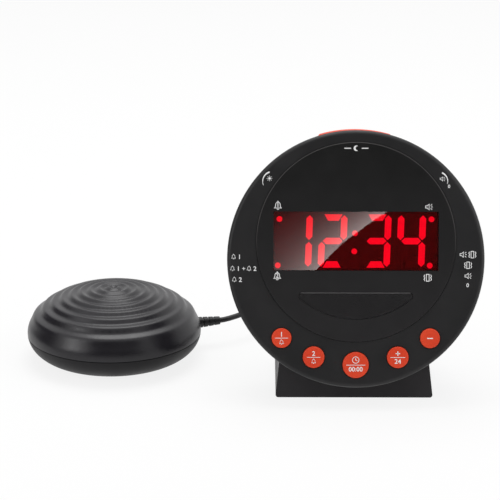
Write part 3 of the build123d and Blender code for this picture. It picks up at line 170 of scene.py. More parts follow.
route = [relief_tip * MM,
         (relief_tip + relief_out * RUN_START) * MM,
         by_clock(*RUN_HIGH),
         by_clock(*RUN_LOW),
         by_clock(RUN_LANDING, COIL_BEHIND + coil_start, CORD_LIFT)]
route += [coil_point(index / COIL_POINTS) for index in range(COIL_POINTS * COIL_TURNS + 1)]
route += [by_clock(TAIL_LEAVING, COIL_BEHIND + COIL_OUTER, coil_top),
          by_clock(*TAIL_CORNER),
          by_clock(*TAIL_HIGH),
          on_face(PLUG_ACROSS, PLUG_UP, PLUG_BEHIND + TAIL_END),
          on_face(PLUG_ACROSS, PLUG_UP, PLUG_BEHIND)]
cord_curve = bpy.data.curves.new("cord", "CURVE")
cord_curve.dimensions = "3D"
cord_curve.bevel_depth = 1.0
cord_curve.bevel_resolution = CORD_SMOOTHNESS
cord_curve.resolution_u = CORD_SMOOTHNESS
cord_curve.use_fill_caps = True
cord_line = cord_curve.splines.new("NURBS")
cord_line.points.add(len(route) - 1)
for point, place in zip(cord_line.points, route):
    point.co = (place.x, place.y, place.z, 1.0)
    point.radius = CORD_RADIUS * MM
cord_line.order_u = 3
cord_line.use_endpoint_u = True
cord = add_object("cord", cord_curve)
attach(cord, ROOT)
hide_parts("cord_run", "cord_coil", "cord_tail")

# Two ties of thin cloth tape hold the put-away coil. NEAR and FAR are measured from its middle.
TIE_HALF = 2.5
TIE_THICK = 0.5
TIE_LOW = 0.09
TIE_HIGH = 15.3
TIE_NEAR = 9.7
TIE_FAR = 26.9
TIE_ROUND = 1.9
TIE_ROUND_STEPS = 6
TIE_FLOOR = 0.01
TIE_EDGE = 0.25
TIE_EDGE_SHARE = 0.6
# The loose end is laid on top, with a rounded tip, a brim and a slightly smaller crown
TAB_NEAR = 13.2
TAB_FAR = 22.6
TAB_HALF = 2.1
TAB_TIP_STEP = 15
TAB_SINK = 0.02
TAB_BRIM = 0.4
TAB_CROWN = 0.55
TAB_CROWN_LENGTH = 0.96
TAB_CROWN_WIDTH = 0.88


def tie_outline(grow):
    """Rounded outline round the coil's turns: distance from the coil's middle and height."""
    near, far = TIE_NEAR + TIE_ROUND, TIE_FAR - TIE_ROUND
    low, high = TIE_LOW + TIE_ROUND, TIE_HIGH - TIE_ROUND
    bend = TIE_ROUND + grow
    points = []
    for quarter, (along, height) in enumerate([(far, high), (near, high), (near, low), (far, low)]):
        for step in range(TIE_ROUND_STEPS + 1):
            turn = math.radians(90 * (quarter + step / TIE_ROUND_STEPS))
            points.append((along + bend * math.cos(turn), max(height + bend * math.sin(turn), TIE_FLOOR)))
    return points


def tie_piece(name, angle):
    """Band round the coil, with its loose end laid over it on top."""
    way = Vector((math.cos(math.radians(angle)), math.sin(math.radians(angle)), 0))
    side = Vector((-way.y, way.x, 0))
    middle = by_clock(COIL_ACROSS, COIL_BEHIND, 0.0)
    bm = bmesh.new()

    def vertex(along, across, height):
        return bm.verts.new(middle + (way * along + side * across) * MM + Vector((0, 0, height)) * MM)

    rings = []
    for (ix, iz), (ox, oz) in zip(tie_outline(0.0), tie_outline(TIE_THICK)):
        ring = [vertex(ix, across, iz) for across in (TIE_HALF, -TIE_HALF)]
        for across in (-TIE_HALF, TIE_EDGE - TIE_HALF, TIE_HALF - TIE_EDGE, TIE_HALF):
            share = TIE_EDGE_SHARE if abs(across) == TIE_HALF else 1.0
            ring.append(vertex(ix + (ox - ix) * share, across, iz + (oz - iz) * share))
        rings.append(ring)
    for index, ring in enumerate(rings):
        bridge(bm, ring, rings[(index + 1) % len(rings)])

    low = TIE_HIGH + TIE_THICK
    centre = (TAB_NEAR + TAB_FAR) / 2
    tab = [(TAB_NEAR, -TAB_HALF), (TAB_FAR, -TAB_HALF)]
    for degrees in range(TAB_TIP_STEP - 90, 90, TAB_TIP_STEP):
        turn = math.radians(degrees)
        tab.append((TAB_FAR + TAB_HALF * math.cos(turn), TAB_HALF * math.sin(turn)))
    tab += [(TAB_FAR, TAB_HALF), (TAB_NEAR, TAB_HALF)]
    base = [vertex(along, across, low - TAB_SINK) for along, across in tab]
    brim = [vertex(along, across, low + TAB_BRIM) for along, across in tab]
    crown = [vertex(centre + (along - centre) * TAB_CROWN_LENGTH, across * TAB_CROWN_WIDTH, low + TAB_CROWN)
             for along, across in tab]
    bm.faces.new(list(reversed(base)))
    bm.faces.new(crown)
    bridge(bm, base, brim)
    bridge(bm, brim, crown)
    bmesh.ops.recalc_face_normals(bm, faces=bm.faces)
    made = bpy.data.meshes.new(name)
    bm.to_mesh(made)
    bm.free()
    piece = add_object(name, made)
    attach(piece, ROOT)
    return piece


ties = [tie_piece("cord_tie_left", 205.0), tie_piece("cord_tie_right", 335.0)]

# Materials
# Most of a noise's values lie between these two, so they are the ends of its tones and numbers.
NOISE_LOW = 0.3
NOISE_HIGH = 0.7
WHITE = (1.0, 1.0, 1.0, 1.0)


def linear(red, green, blue):
    """Colour for a shader from the 0 to 255 values that a screen shows."""
    shown = [value / 255 for value in (red, green, blue)]
    return tuple(v / 12.92 if v <= 0.04045 else ((v + 0.055) / 1.055) ** 2.4 for v in shown) + (1.0,)


def mix_shaders(tree, factor, first, second, output):
    """Shows the first shader where the factor is 0 and the second where it is 1."""
    mix = tree.nodes.new("ShaderNodeMixShader")
    tree.links.new(factor, mix.inputs["Fac"])
    tree.links.new(first.outputs[0], mix.inputs[1])
    tree.links.new(second.outputs[0], mix.inputs[2])
    tree.links.new(mix.outputs["Shader"], output.inputs["Surface"])


def seen_directly(tree):
    """1 for what the camera sees, also mirrored or through clear plastic, and 0 for light on the object."""
    path = tree.nodes.new("ShaderNodeLightPath")
    seen = path.outputs["Is Camera Ray"]
    for kind in ("Is Glossy Ray", "Is Transmission Ray"):
        either = tree.nodes.new("ShaderNodeMath")
        either.operation = "MAXIMUM"
        tree.links.new(seen, either.inputs[0])
        tree.links.new(path.outputs[kind], either.inputs[1])
        seen = either.outputs[0]
    return seen


class Surface:
    """A node material: one Principled shader, with helpers that add texture nodes to it."""

    def __init__(self, name):
        self.material = bpy.data.materials.new(name)
        self.material.use_nodes = True
        self.tree = self.material.node_tree
        self.tree.nodes.clear()
        self.output = self.node("ShaderNodeOutputMaterial")
        self.shader = self.node("ShaderNodeBsdfPrincipled")
        self.link(self.shader.outputs["BSDF"], self.output.inputs["Surface"])
        self.place = self.node("ShaderNodeTexCoord").outputs["Object"]

    def node(self, kind, **settings):
        made = self.tree.nodes.new(kind)
        for key, value in settings.items():
            setattr(made, key, value)
        return made

    def link(self, start, end):
        self.tree.links.new(start, end)

    def set(self, **values):
        """Constants on the shader's own sockets."""
        for key, value in values.items():
            self.shader.inputs[key.replace("_", " ")].default_value = value

    def noise(self, size, detail=2.0, roughness=0.5):
        """Noise whose grains are about size metres across."""
        made = self.node("ShaderNodeTexNoise")
        made.inputs["Scale"].default_value = 1 / size
        made.inputs["Detail"].default_value = detail
        made.inputs["Roughness"].default_value = roughness
        self.link(self.place, made.inputs["Vector"])
        return made.outputs["Fac"]

    def tones(self, value, dark, light):
        """Noise turned into a colour between two tones of the screen."""
        made = self.node("ShaderNodeValToRGB")
        for element, at, tone in zip(made.color_ramp.elements, (NOISE_LOW, NOISE_HIGH), (dark, light)):
            element.position = at
            element.color = linear(*tone)
        self.link(value, made.inputs["Fac"])
        return made.outputs["Color"]

    def between(self, value, start, end, low=0.0, high=1.0):
        """Value turned into low to high, clamped, as it goes from start to end."""
        made = self.node("ShaderNodeMapRange")
        made.inputs["From Min"].default_value = start
        made.inputs["From Max"].default_value = end
        made.inputs["To Min"].default_value = low
        made.inputs["To Max"].default_value = high
        self.link(value, made.inputs["Value"])
        return made.outputs["Result"]

    def along(self, way):
        """How far a place of the object lies in a direction."""
        made = self.node("ShaderNodeVectorMath", operation="DOT_PRODUCT")
        made.inputs[1].default_value = way
        self.link(self.place, made.inputs[0])
        return made.outputs["Value"]

    def away(self, middle):
        """How far a place of the object lies from a point."""
        made = self.node("ShaderNodeVectorMath", operation="DISTANCE")
        made.inputs[1].default_value = middle
        self.link(self.place, made.inputs[0])
        return made.outputs["Value"]

    def times(self, first, second):
        made = self.node("ShaderNodeMath", operation="MULTIPLY")
        self.link(first, made.inputs[0])
        self.link(second, made.inputs[1])
        return made.outputs[0]

    def blend(self, factor, first, second):
        """Mix of a colour from a node and a plain one."""
        made = self.node("ShaderNodeMix", data_type="RGBA")
        self.link(factor, made.inputs[0])
        self.link(first, made.inputs[6])
        made.inputs[7].default_value = second
        return made.outputs[2]

    def colour(self, value):
        """Sets the base colour, which a later finish can build on."""
        self.base = value
        self.link(value, self.shader.inputs["Base Color"])

    def wander(self, socket, value, low, high):
        """Lets a number of the shader change with a noise."""
        self.link(self.between(value, NOISE_LOW, NOISE_HIGH, low, high), self.shader.inputs[socket])

    def bump(self, value, height):
        made = self.node("ShaderNodeBump")
        made.inputs["Strength"].default_value = 1.0
        made.inputs["Distance"].default_value = height
        self.link(value, made.inputs["Height"])
        self.link(made.outputs["Normal"], self.shader.inputs["Normal"])


# Patches of gloss on moulded plastic, as a share of its patches of tone
GLOSS_SHARE = 0.6
# Detail of the noises for tone and for gloss, and roughness of the noise for the spark texture
TONE_DETAIL = 3.0
GLOSS_DETAIL = 4.0
SPARK_ROUGHNESS = 0.6
# Patches of tone and of gloss on metal, as multiples of its grain, and the grain's depth in metres
METAL_TONE = 12
METAL_GLOSS = 5
METAL_DEPTH = 0.000006
# Clear plastic and glowing parts: patches in metres, and how much the glow changes
CLEAR_IOR = 1.47
CLEAR_PATCH = 0.01
GLOW_TONE_PATCH = 0.004
GLOW_PATCH = 0.003
GLOW_WANDER = 0.05
GLOW_ROUGHNESS = 0.5

# Panel: colours of the screen, places in millimetres above the front's middle and inside the panel's rim. Its
# lighter foot is painted light, and the light line round its upper rim is a painted highlight
PANEL_TONES = ((24, 24, 24), (28, 28, 28))
# Painted light: the colour that the panel's lower part fades to, as if more light fell there
PANEL_FOOT_PAINTED_LIGHT = (40, 39, 40)
PANEL_PAINTED_LIGHT_FADE = (62.0, -30.0)
# Painted highlight: a fine light line just inside the panel's rim, on its upper part only
PANEL_RIM_HIGHLIGHT = (74, 72, 72)
PANEL_HIGHLIGHT_INSIDE = (0.55, 0.4)
PANEL_HIGHLIGHT_SHARE = 0.8
PANEL_HIGHLIGHT_FADE = 20.0

# Lens: colours of the screen, places in millimetres below its flat top, and its noises in metres
LENS_TONES = ((40, 39, 40), (44, 43, 44))
# Painted highlight: a fine light line along the lens's flat top edge
LENS_TOP_HIGHLIGHT = (94, 92, 93)
LENS_HIGHLIGHT_BELOW = (0.75, 0.6)
LENS_TONE_PATCH = 0.012
LENS_GLOSS_PATCH = 0.01
LENS_ROUGHNESS = (0.3, 0.36)
LENS_GRAIN = 0.0004
LENS_DEPTH = 0.000003


def moulded(name, dark, light, rough=(0.42, 0.52), grain=0.00045, depth=0.000012, shine=0.3, patch=0.02):
    """Moulded plastic: slight change of tone, fine spark texture and uneven gloss."""
    s = Surface(name)
    s.colour(s.tones(s.noise(patch, TONE_DETAIL), dark, light))
    s.wander("Roughness", s.noise(patch * GLOSS_SHARE, GLOSS_DETAIL), *rough)
    s.bump(s.noise(grain, roughness=SPARK_ROUGHNESS), depth)
    s.set(Specular_IOR_Level=shine)
    return s


def metal(name, dark, light, rough, grain):
    """Bare metal with a fine grain."""
    s = Surface(name)
    s.colour(s.tones(s.noise(grain * METAL_TONE, TONE_DETAIL), dark, light))
    s.wander("Roughness", s.noise(grain * METAL_GLOSS, TONE_DETAIL), *rough)
    s.bump(s.noise(grain), METAL_DEPTH)
    s.set(Metallic=1.0)
    return s


def clear(name, tint, film, rough):
    """Tinted clear plastic that lets lamps through to what is behind it."""
    s = Surface(name)
    s.set(Base_Color=linear(*tint), Transmission_Weight=1.0, IOR=CLEAR_IOR)
    s.wander("Roughness", s.noise(CLEAR_PATCH), *rough)
    path = s.node("ShaderNodeLightPath")
    through = s.node("ShaderNodeBsdfTransparent")
    through.inputs["Color"].default_value = linear(*film)
    mix_shaders(s.tree, path.outputs["Is Shadow Ray"], s.shader, through, s.output)
    return s


def glowing(name, dark, light, glow, strength):
    """Diffuser over a lit diode, which glows a little unevenly."""
    s = Surface(name)
    s.colour(s.tones(s.noise(GLOW_TONE_PATCH), dark, light))
    s.wander("Emission Strength", s.noise(GLOW_PATCH), strength * (1 - GLOW_WANDER),
             strength * (1 + GLOW_WANDER))
    s.set(Emission_Color=linear(*glow), Roughness=GLOW_ROUGHNESS)
    return s


def panel_with_painted_light():
    """Front panel: painted light makes it a little lighter towards its foot, and a painted highlight makes a
    fine light line round its upper rim.
    """
    s = moulded("panel_black_painted_light", *PANEL_TONES, rough=(0.36, 0.46), grain=0.00035, shine=0.22)
    level = s.along(UP)
    middle = FACE.dot(UP) * MM
    top, foot = (middle + height * MM for height in PANEL_PAINTED_LIGHT_FADE)
    # Painted light: the panel grows lighter from above its middle down to its foot
    body = s.blend(s.between(level, top, foot), s.base, linear(*PANEL_FOOT_PAINTED_LIGHT))
    inner, outer = ((PANEL_RADIUS - inside) * MM for inside in PANEL_HIGHLIGHT_INSIDE)
    # Painted highlight: a light line just inside the rim, fading out from above down to the middle's height
    ring = s.between(s.away(on_face(0.0, PANEL_UP)), inner, outer, 0.0, PANEL_HIGHLIGHT_SHARE)
    upper = s.between(level, middle, middle + PANEL_HIGHLIGHT_FADE * MM)
    s.colour(s.blend(s.times(ring, upper), body, linear(*PANEL_RIM_HIGHLIGHT)))
    return s


def lens_with_painted_highlight():
    """Smoked lens whose flat top edge shows a painted highlight, a fine light line."""
    s = Surface("lens_smoked_painted_highlight")
    start, end = ((LENS_TOP - below) * MM for below in LENS_HIGHLIGHT_BELOW)
    tone = s.tones(s.noise(LENS_TONE_PATCH, TONE_DETAIL), *LENS_TONES)
    # Painted highlight: the band just below the flat top edge is lighter
    s.colour(s.blend(s.between(s.along(UP), start, end), tone, linear(*LENS_TOP_HIGHLIGHT)))
    s.wander("Roughness", s.noise(LENS_GLOSS_PATCH), *LENS_ROUGHNESS)
    s.bump(s.noise(LENS_GRAIN), LENS_DEPTH)
    s.set(Alpha=0.86, Specular_IOR_Level=0.25)
    return s


case_black = moulded("case_black", (32, 32, 33), (38, 37, 38), shine=0.28)
panel_black_painted_light = panel_with_painted_light()
shaker_black = moulded("shaker_black", (24, 22, 27), (31, 29, 34), rough=(0.3, 0.38), grain=0.0005,
                       shine=0.42)
base_black = moulded("base_black", (25, 24, 26), (31, 30, 32), shine=0.2)
# Painted light: a lighter copy of the case's black plastic, standing in for light on the stand and rear
# housing
stand_black_painted_light = moulded("stand_black_painted_light", (47, 45, 47), (53, 51, 53), shine=0.28)
control_black = moulded("control_black", (24, 24, 24), (31, 31, 31), rough=(0.3, 0.4), grain=0.0003,
                        shine=0.35)
inner_black = moulded("inner_black", (20, 20, 21), (28, 28, 29), grain=0.0006)
orange = moulded("orange_plastic", (224, 62, 28), (233, 72, 36), rough=(0.34, 0.42), grain=0.0003,
                 depth=0.000006, shine=0.35)
rubber = moulded("foot_rubber", (26, 26, 26), (36, 36, 36), rough=(0.7, 0.85), grain=0.0006, shine=0.2)
cord_sheath = moulded("cord_sheath", (26, 26, 27), (34, 34, 35), rough=(0.38, 0.5), grain=0.0005,
                      shine=0.35)
window_clear = clear("window_clear", (230, 60, 62), (238, 90, 90), (0.0, 0.02))
lens_smoked_painted_highlight = lens_with_painted_highlight()
lamp_clear = clear("lamp_clear", (235, 235, 230), (240, 240, 240), (0.08, 0.15))
lit_red = glowing("lit_red", (120, 10, 16), (140, 14, 20), (255, 24, 138), 1.1)
unlit_red = moulded("unlit_red", (56, 42, 40), (61, 46, 44), rough=(0.5, 0.6), shine=0.1)
display_face = moulded("display_face", (53, 39, 37), (59, 43, 41), rough=(0.5, 0.6), shine=0.1)
board_green = moulded("board_green", (24, 70, 40), (34, 88, 50), rough=(0.35, 0.5), grain=0.001)
part_black = moulded("part_black", (26, 26, 27), (36, 36, 37), grain=0.0004)
steel = metal("steel_plate", (168, 168, 170), (196, 196, 198), (0.25, 0.4), 0.0004)
magnet_dark = metal("magnet_dark", (70, 70, 74), (92, 92, 96), (0.4, 0.55), 0.0006)
brass = metal("brass_weight", (176, 140, 74), (202, 166, 96), (0.3, 0.45), 0.0006)
paper = moulded("cone_paper", (30, 29, 28), (46, 44, 42), rough=(0.8, 0.95), grain=0.0008, depth=0.00005,
                shine=0.15)
tie_cloth = moulded("tie_cloth", (22, 22, 23), (33, 33, 34), rough=(0.8, 0.95), grain=0.0005, depth=0.00012,
                    shine=0.15)
paint = moulded("print_paint", (238, 238, 238), (250, 250, 250), rough=(0.5, 0.6), grain=0.0002,
                depth=0.000002, shine=0.3)

FINISH = {
    "front_bezel": case_black, "face_panel": panel_black_painted_light, "display_window": window_clear,
    "alert_lens": lens_smoked_painted_highlight, "main_board": board_green, "board_screws": steel,
    "display_module": display_face, "segments_lit": lit_red, "segments_dark": unlit_red,
    "indicator_dots": lit_red, "alert_lamps": lamp_clear, "button_switches": part_black,
    "rear_housing": stand_black_painted_light, "housing_screws": steel, "back_cover": case_black, "cover_screws": steel,
    "base_plate": case_black, "base_screws": steel, "rubber_feet": rubber, "snooze_bar": orange,
    "snooze_board": board_green, "snooze_switch": part_black, "snooze_screws": steel,
    "dimmer_wheel": control_black, "dimmer_pot": part_black, "volume_wheel": control_black,
    "volume_pot": part_black, "alarm_slider": control_black, "alarm_switch": steel,
    "mode_slider": control_black, "mode_switch": steel, "battery_door": case_black,
    "battery_contacts": steel, "speaker_frame": steel, "speaker_cone": paper, "speaker_magnet": magnet_dark,
    "dc_inlet": part_black, "shaker_jack": part_black, "tone_knob": control_black, "tone_pot": part_black,
    "shaker_dome": shaker_black, "shaker_base": base_black, "shaker_pads": rubber, "shaker_screws": steel,
    "shaker_motor": steel, "motor_clamp": inner_black, "clamp_screws": steel, "eccentric_weight": brass,
    "strain_relief": cord_sheath, "shaker_plug": part_black, "al1_button": orange, "al2_button": orange,
    "time_button": orange, "up_button": orange, "down_button": orange,
}
for node, surface in FINISH.items():
    mesh = frame["nodes"][node].data
    mesh.materials.clear()
    mesh.materials.append(surface.material)
cord_curve.materials.append(cord_sheath.material)
for tie in ties:
    tie.data.materials.append(tie_cloth.material)

# Printed marks
# Each mark is drawn in millimetres on the round front, then laid on the node that carries it.
# It is a little sunk into the surface, which is looked for from well in front of it.
PRINT_THICKNESS = 0.06
PRINT_SINK = 0.02
PRINT_MERGE = 0.0005
PRINT_START = -20.0
# Least cosine that a strip's corner is widened by, and points of a round
STRIP_MITRE = 0.5
ROUND_POINTS = 24
# Digits of the built-in font: height as a share of the font's size, added weight as a share of the height
DIGIT_SHARE = 0.7
DIGIT_WEIGHT = 0.022
DIGIT_SMOOTHNESS = 4
DIGIT_EXTRUDE = 0.5


class Print:
    """Flat marks of one piece, kept as plates and strips before they are laid on a surface."""

    def __init__(self):
        self.mesh = bmesh.new()

    def solid(self, outline):
        """Flat plate with the given outline, which runs anticlockwise."""
        low = [self.mesh.verts.new((x, y, -PRINT_SINK)) for x, y in outline]
        high = [self.mesh.verts.new((x, y, PRINT_THICKNESS)) for x, y in outline]
        self.mesh.faces.new(high)
        self.mesh.faces.new(list(reversed(low)))
        bridge(self.mesh, low, high)

    def strip(self, points, width, closed=False, taper=None):
        """Line of a given width through points, with mitred corners, or of each point's width in taper."""
        count = len(points)
        rings = []
        for index, (x, y) in enumerate(points):
            ways = []
            if closed or index > 0:
                ways.append(Vector((x - points[index - 1][0], y - points[index - 1][1])).normalized())
            if closed or index < count - 1:
                after = points[(index + 1) % count]
                ways.append(Vector((after[0] - x, after[1] - y)).normalized())
            way = (ways[0] + ways[-1]).normalized()
            half = (width if taper is None else taper[index]) / 2 / max(way.dot(ways[0]), STRIP_MITRE)
            left = (x - way.y * half, y + way.x * half)
            right = (x + way.y * half, y - way.x * half)
            rings.append([self.mesh.verts.new(co) for co in
                          ((*right, -PRINT_SINK), (*left, -PRINT_SINK), (*left, PRINT_THICKNESS),
                           (*right, PRINT_THICKNESS))])
        for index in range(count if closed else count - 1):
            bridge(self.mesh, rings[index], rings[(index + 1) % count])
        if not closed:
            self.mesh.faces.new(list(reversed(rings[0])))
            self.mesh.faces.new(rings[-1])

    def text(self, words, x, y, height):
        """Plain numbers, centred at a place, with digits of a given height."""
        curve = bpy.data.curves.new("words", "FONT")
        curve.body = words
        curve.size = height / DIGIT_SHARE
        curve.align_x = "CENTER"
        curve.extrude = DIGIT_EXTRUDE
        curve.resolution_u = DIGIT_SMOOTHNESS
        curve.offset = height * DIGIT_WEIGHT
        holder = add_object("words", curve)
        bpy.context.view_layer.update()
        shown = holder.evaluated_get(bpy.context.evaluated_depsgraph_get())
        flat = bpy.data.meshes.new_from_object(shown)
        for vertex in flat.vertices:
            level = PRINT_THICKNESS if vertex.co.z > 0 else -PRINT_SINK
            vertex.co = (vertex.co.x + x, vertex.co.y + y - height / 2, level)
        self.mesh.from_mesh(flat)
        bpy.data.objects.remove(holder)
        bpy.data.curves.remove(curve)
        bpy.data.meshes.remove(flat)

    def lay(self, name, carrier, body, across=0.0, up=0.0):
        """Puts the marks on the front of a node, with their own middle at a place."""
        tree = BVHTree.FromPolygons([v.co for v in frame["nodes"][carrier].data.vertices],
                                    [p.vertices for p in frame["nodes"][carrier].data.polygons])
        bmesh.ops.remove_doubles(self.mesh, verts=self.mesh.verts, dist=PRINT_MERGE)
        bmesh.ops.recalc_face_normals(self.mesh, faces=self.mesh.faces)
        for vertex in self.mesh.verts:
            hit = tree.ray_cast(on_face(vertex.co.x + across, vertex.co.y + up, PRINT_START), -OUT)[0]
            if hit is None:
                raise RuntimeError(f"{name} has nothing behind it")
            vertex.co = hit + OUT * vertex.co.z * MM
        made = bpy.data.meshes.new(name)
        self.mesh.to_mesh(made)
        self.mesh.free()
        made.materials.append(paint.material)
        piece = add_object(name, made)
        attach(piece, body)


def arc(x, y, radius, start, end, steps):
    """Points along an arc, angles in degrees."""
    turns = [math.radians(start + (end - start) * i / steps) for i in range(steps + 1)]
    return [(x + radius * math.cos(turn), y + radius * math.sin(turn)) for turn in turns]


def circle(x, y, radius):
    """Points all round a circle."""
    return arc(x, y, radius, 0, 360, ROUND_POINTS)[:-1]


# Outlines of the signs. Places and widths are shares of a sign's height, or of a round sign's radius.
BELL_LINE = 0.07
BELL_SIDE = ((-0.37, -0.26), (-0.2664, -0.12), (-0.2442, 0.12))
BELL_TIP = ((0.0, 0.4), (0.0, 0.5))
BELL_TIP_LINE = 0.112
BELL_CROWN_STEPS = 10
BELL_CLAPPER = 0.12
BELL_CLAPPER_ARC = (200, 340, 6)
BELL_NUMBER_UP = 0.06
BELL_NUMBER = 0.46
SPEAKER_LINE = 0.1
SPEAKER_BOX = ((-0.55, 0.16), (-0.55, -0.16), (-0.3, -0.16), (-0.02, -0.42), (-0.02, 0.42), (-0.3, 0.16))
SPEAKER_RAYS = (((0.25, 0.0), (0.52, 0.0)), ((0.2, -0.2), (0.42, -0.42)), ((0.2, 0.2), (0.42, 0.42)))
SHAKING_LINE = 0.09
SHAKING_PAD = ((-0.17, -0.42), (0.17, -0.42), (0.17, 0.42), (-0.17, 0.42))
SHAKING_ZIGZAG = ((0.36, 0.38), (0.46, 0.19), (0.36, 0.0), (0.46, -0.19), (0.36, -0.38))
SUN_DISC = 0.45
SUN_RAYS = 8
SUN_RAY_START = 0.68
SUN_LINE = 0.2
MOON_OUTER = (50, 310, 20)
MOON_INNER = (285, 75, 16)
MOON_INNER_SHIFT = 0.55
MOON_INNER_RADIUS = 0.79
# The scale lines start thinner, at this share of their thickness
SCALE_START = 0.25
SCALE_STEPS = 18
# The dial's lines are shares of its button's line, and its hands are in millimetres from its middle
DIAL_RING_LINE = 1.1
DIAL_HAND_LINE = 1.2
DIAL_HANDS = ((0.0, 1.15), (0.0, -0.05), (0.95, -0.55))


def sized(x, y, size, shares):
    """Places of an outline in millimetres, from its shares of a size."""
    return [(x + size * across, y + size * up) for across, up in shares]


def bell(mark, x, y, height, words=""):
    """Bell outline, with or without a number in it, and its clapper below."""
    line = height * BELL_LINE
    side = sized(x, y, height, BELL_SIDE)
    foot, shoulder = side[0][1], side[-1][1]
    crown = arc(x, shoulder, x - side[-1][0], 180, 0, BELL_CROWN_STEPS)[1:-1]
    other = [(2 * x - px, py) for px, py in reversed(side)]
    mark.strip(side + crown + other, line, closed=True)
    mark.strip(sized(x, y, height, BELL_TIP), height * BELL_TIP_LINE)
    mark.strip(arc(x, foot - line / 2, height * BELL_CLAPPER, *BELL_CLAPPER_ARC), line)
    if words:
        mark.text(words, x, y + height * BELL_NUMBER_UP, height * BELL_NUMBER)


def speaker(mark, x, y, height):
    """Small loudspeaker with three sound rays."""
    line = height * SPEAKER_LINE
    mark.strip(sized(x, y, height, SPEAKER_BOX), line, closed=True)
    for ray in SPEAKER_RAYS:
        mark.strip(sized(x, y, height, ray), line)


def shaking(mark, x, y, height):
    """Narrow pad with a zigzag line at each side for shaking."""
    line = height * SHAKING_LINE
    mark.strip(sized(x, y, height, SHAKING_PAD), line, closed=True)
    for side in (-1, 1):
        mark.strip(sized(x, y, height, [(side * across, up) for across, up in SHAKING_ZIGZAG]), line)


def sun(mark, x, y, radius):
    """Small sun for brightness."""
    mark.solid(circle(x, y, radius * SUN_DISC))
    for index in range(SUN_RAYS):
        angle = 2 * math.pi * index / SUN_RAYS
        ray = [(share * math.cos(angle), share * math.sin(angle)) for share in (SUN_RAY_START, 1.0)]
        mark.strip(sized(x, y, radius, ray), radius * SUN_LINE)


def crescent(mark, x, y, radius):
    """Crescent moon, open to the right."""
    inner = arc(x + radius * MOON_INNER_SHIFT, y, radius * MOON_INNER_RADIUS, *MOON_INNER)
    mark.solid(arc(x, y, radius, *MOON_OUTER) + inner[1:-1])


def scale(mark, x, y, radius, start, end, thick):
    """Curved scale line that gets thicker towards its end."""
    shares = [SCALE_START + (1 - SCALE_START) * i / SCALE_STEPS for i in range(SCALE_STEPS + 1)]
    mark.strip(arc(x, y, radius, start, end, SCALE_STEPS), thick, taper=[thick * share for share in shares])


def number(mark, x, y, height, words):
    mark.text(words, x, y, height)


def bar(mark, x, y, half, line):
    """Level bar, as long to both sides of its middle."""
    mark.strip([(x - half, y), (x + half, y)], line)


def plus(mark, x, y, half, line):
    bar(mark, x, y, half, line)
    mark.strip([(x, y - half), (x, y + half)], line)


def dial(mark, x, y, radius, line):
    """Small clock dial with two hands."""
    mark.strip(circle(x, y, radius), line * DIAL_RING_LINE, closed=True)
    mark.strip([(x + across, y + up) for across, up in DIAL_HANDS], line * DIAL_HAND_LINE)


def print_signs(name, carrier, body, signs, across=0.0, up=0.0):
    """Draws a list of signs, each a function and what it is given, and lays them on a node as one piece."""
    mark = Print()
    for draw, *given in signs:
        draw(mark, *given)
    mark.lay(name, carrier, body, across, up)


# Marks of the front. Each sign has its place across and up, its height or radius, and what else it needs.
SNOOZE_UP = 60.1
ROW_BELL = 3.0
ROW_DIGIT = 2.4
ALARM_ROWS = (1.2, -5.2, -11.2)
MODE_ROWS = (2.6, -3.2, -9.0, -14.0)
MODE_SPEAKER = 3.4
MODE_SHAKING = 4.2
ROW_PLUS = (0.8, 0.34)

# Snooze place: a moon between two bars
print_signs("snooze_mark", "face_panel", ROOT, [
    (crescent, 0.0, 0.0, 1.5),
    (bar, -4.7, 0.0, 1.8, 0.5),
    (bar, 4.7, 0.0, 1.8, 0.5),
], up=SNOOZE_UP)
# Brightness and volume scales
print_signs("dimmer_mark", "front_bezel", ROOT, [
    (scale, -45.4, 42.1, 5.3, 203, 107, 0.9),
    (sun, -47.0, 43.7, 1.5),
])
print_signs("volume_mark", "front_bezel", ROOT, [
    (scale, 44.6, 42.3, 4.95, -17, 68, 0.9),
    (speaker, 46.9, 43.6, 2.6),
    (number, 50.3, 39.6, 1.8, "0"),
])
# Marks by the window's four lamps
print_signs("window_marks", "face_panel", ROOT, [
    (bell, -42.4, 29.0, 5.0, "1"),
    (bell, -42.7, -9.2, 5.0, "2"),
    (speaker, 39.6, 28.4, 3.6),
    (shaking, 38.9, -10.0, 4.4),
])
# Alarm choice at the left: the first alarm, both, the second
print_signs("alarm_marks", "front_bezel", ROOT, [
    (bell, -66.4, ALARM_ROWS[0], ROW_BELL),
    (number, -63.2, ALARM_ROWS[0], ROW_DIGIT, "1"),
    (bell, -67.0, ALARM_ROWS[1], ROW_BELL),
    (number, -63.8, ALARM_ROWS[1], ROW_DIGIT, "1"),
    (plus, -60.9, ALARM_ROWS[1], *ROW_PLUS),
    (bell, -58.0, ALARM_ROWS[1], ROW_BELL),
    (number, -54.8, ALARM_ROWS[1], ROW_DIGIT, "2"),
    (bell, -66.0, ALARM_ROWS[2], ROW_BELL),
    (number, -62.7, ALARM_ROWS[2], ROW_DIGIT, "2"),
])
# Kind of alarm at the right: sound and shaking, shaking, sound, off
print_signs("mode_marks", "front_bezel", ROOT, [
    (speaker, 58.3, MODE_ROWS[0], MODE_SPEAKER),
    (shaking, 63.1, MODE_ROWS[0], MODE_SHAKING),
    (shaking, 60.8, MODE_ROWS[1], MODE_SHAKING),
    (speaker, 61.0, MODE_ROWS[2], MODE_SPEAKER),
    (number, 60.6, MODE_ROWS[3], 2.0, "0"),
])

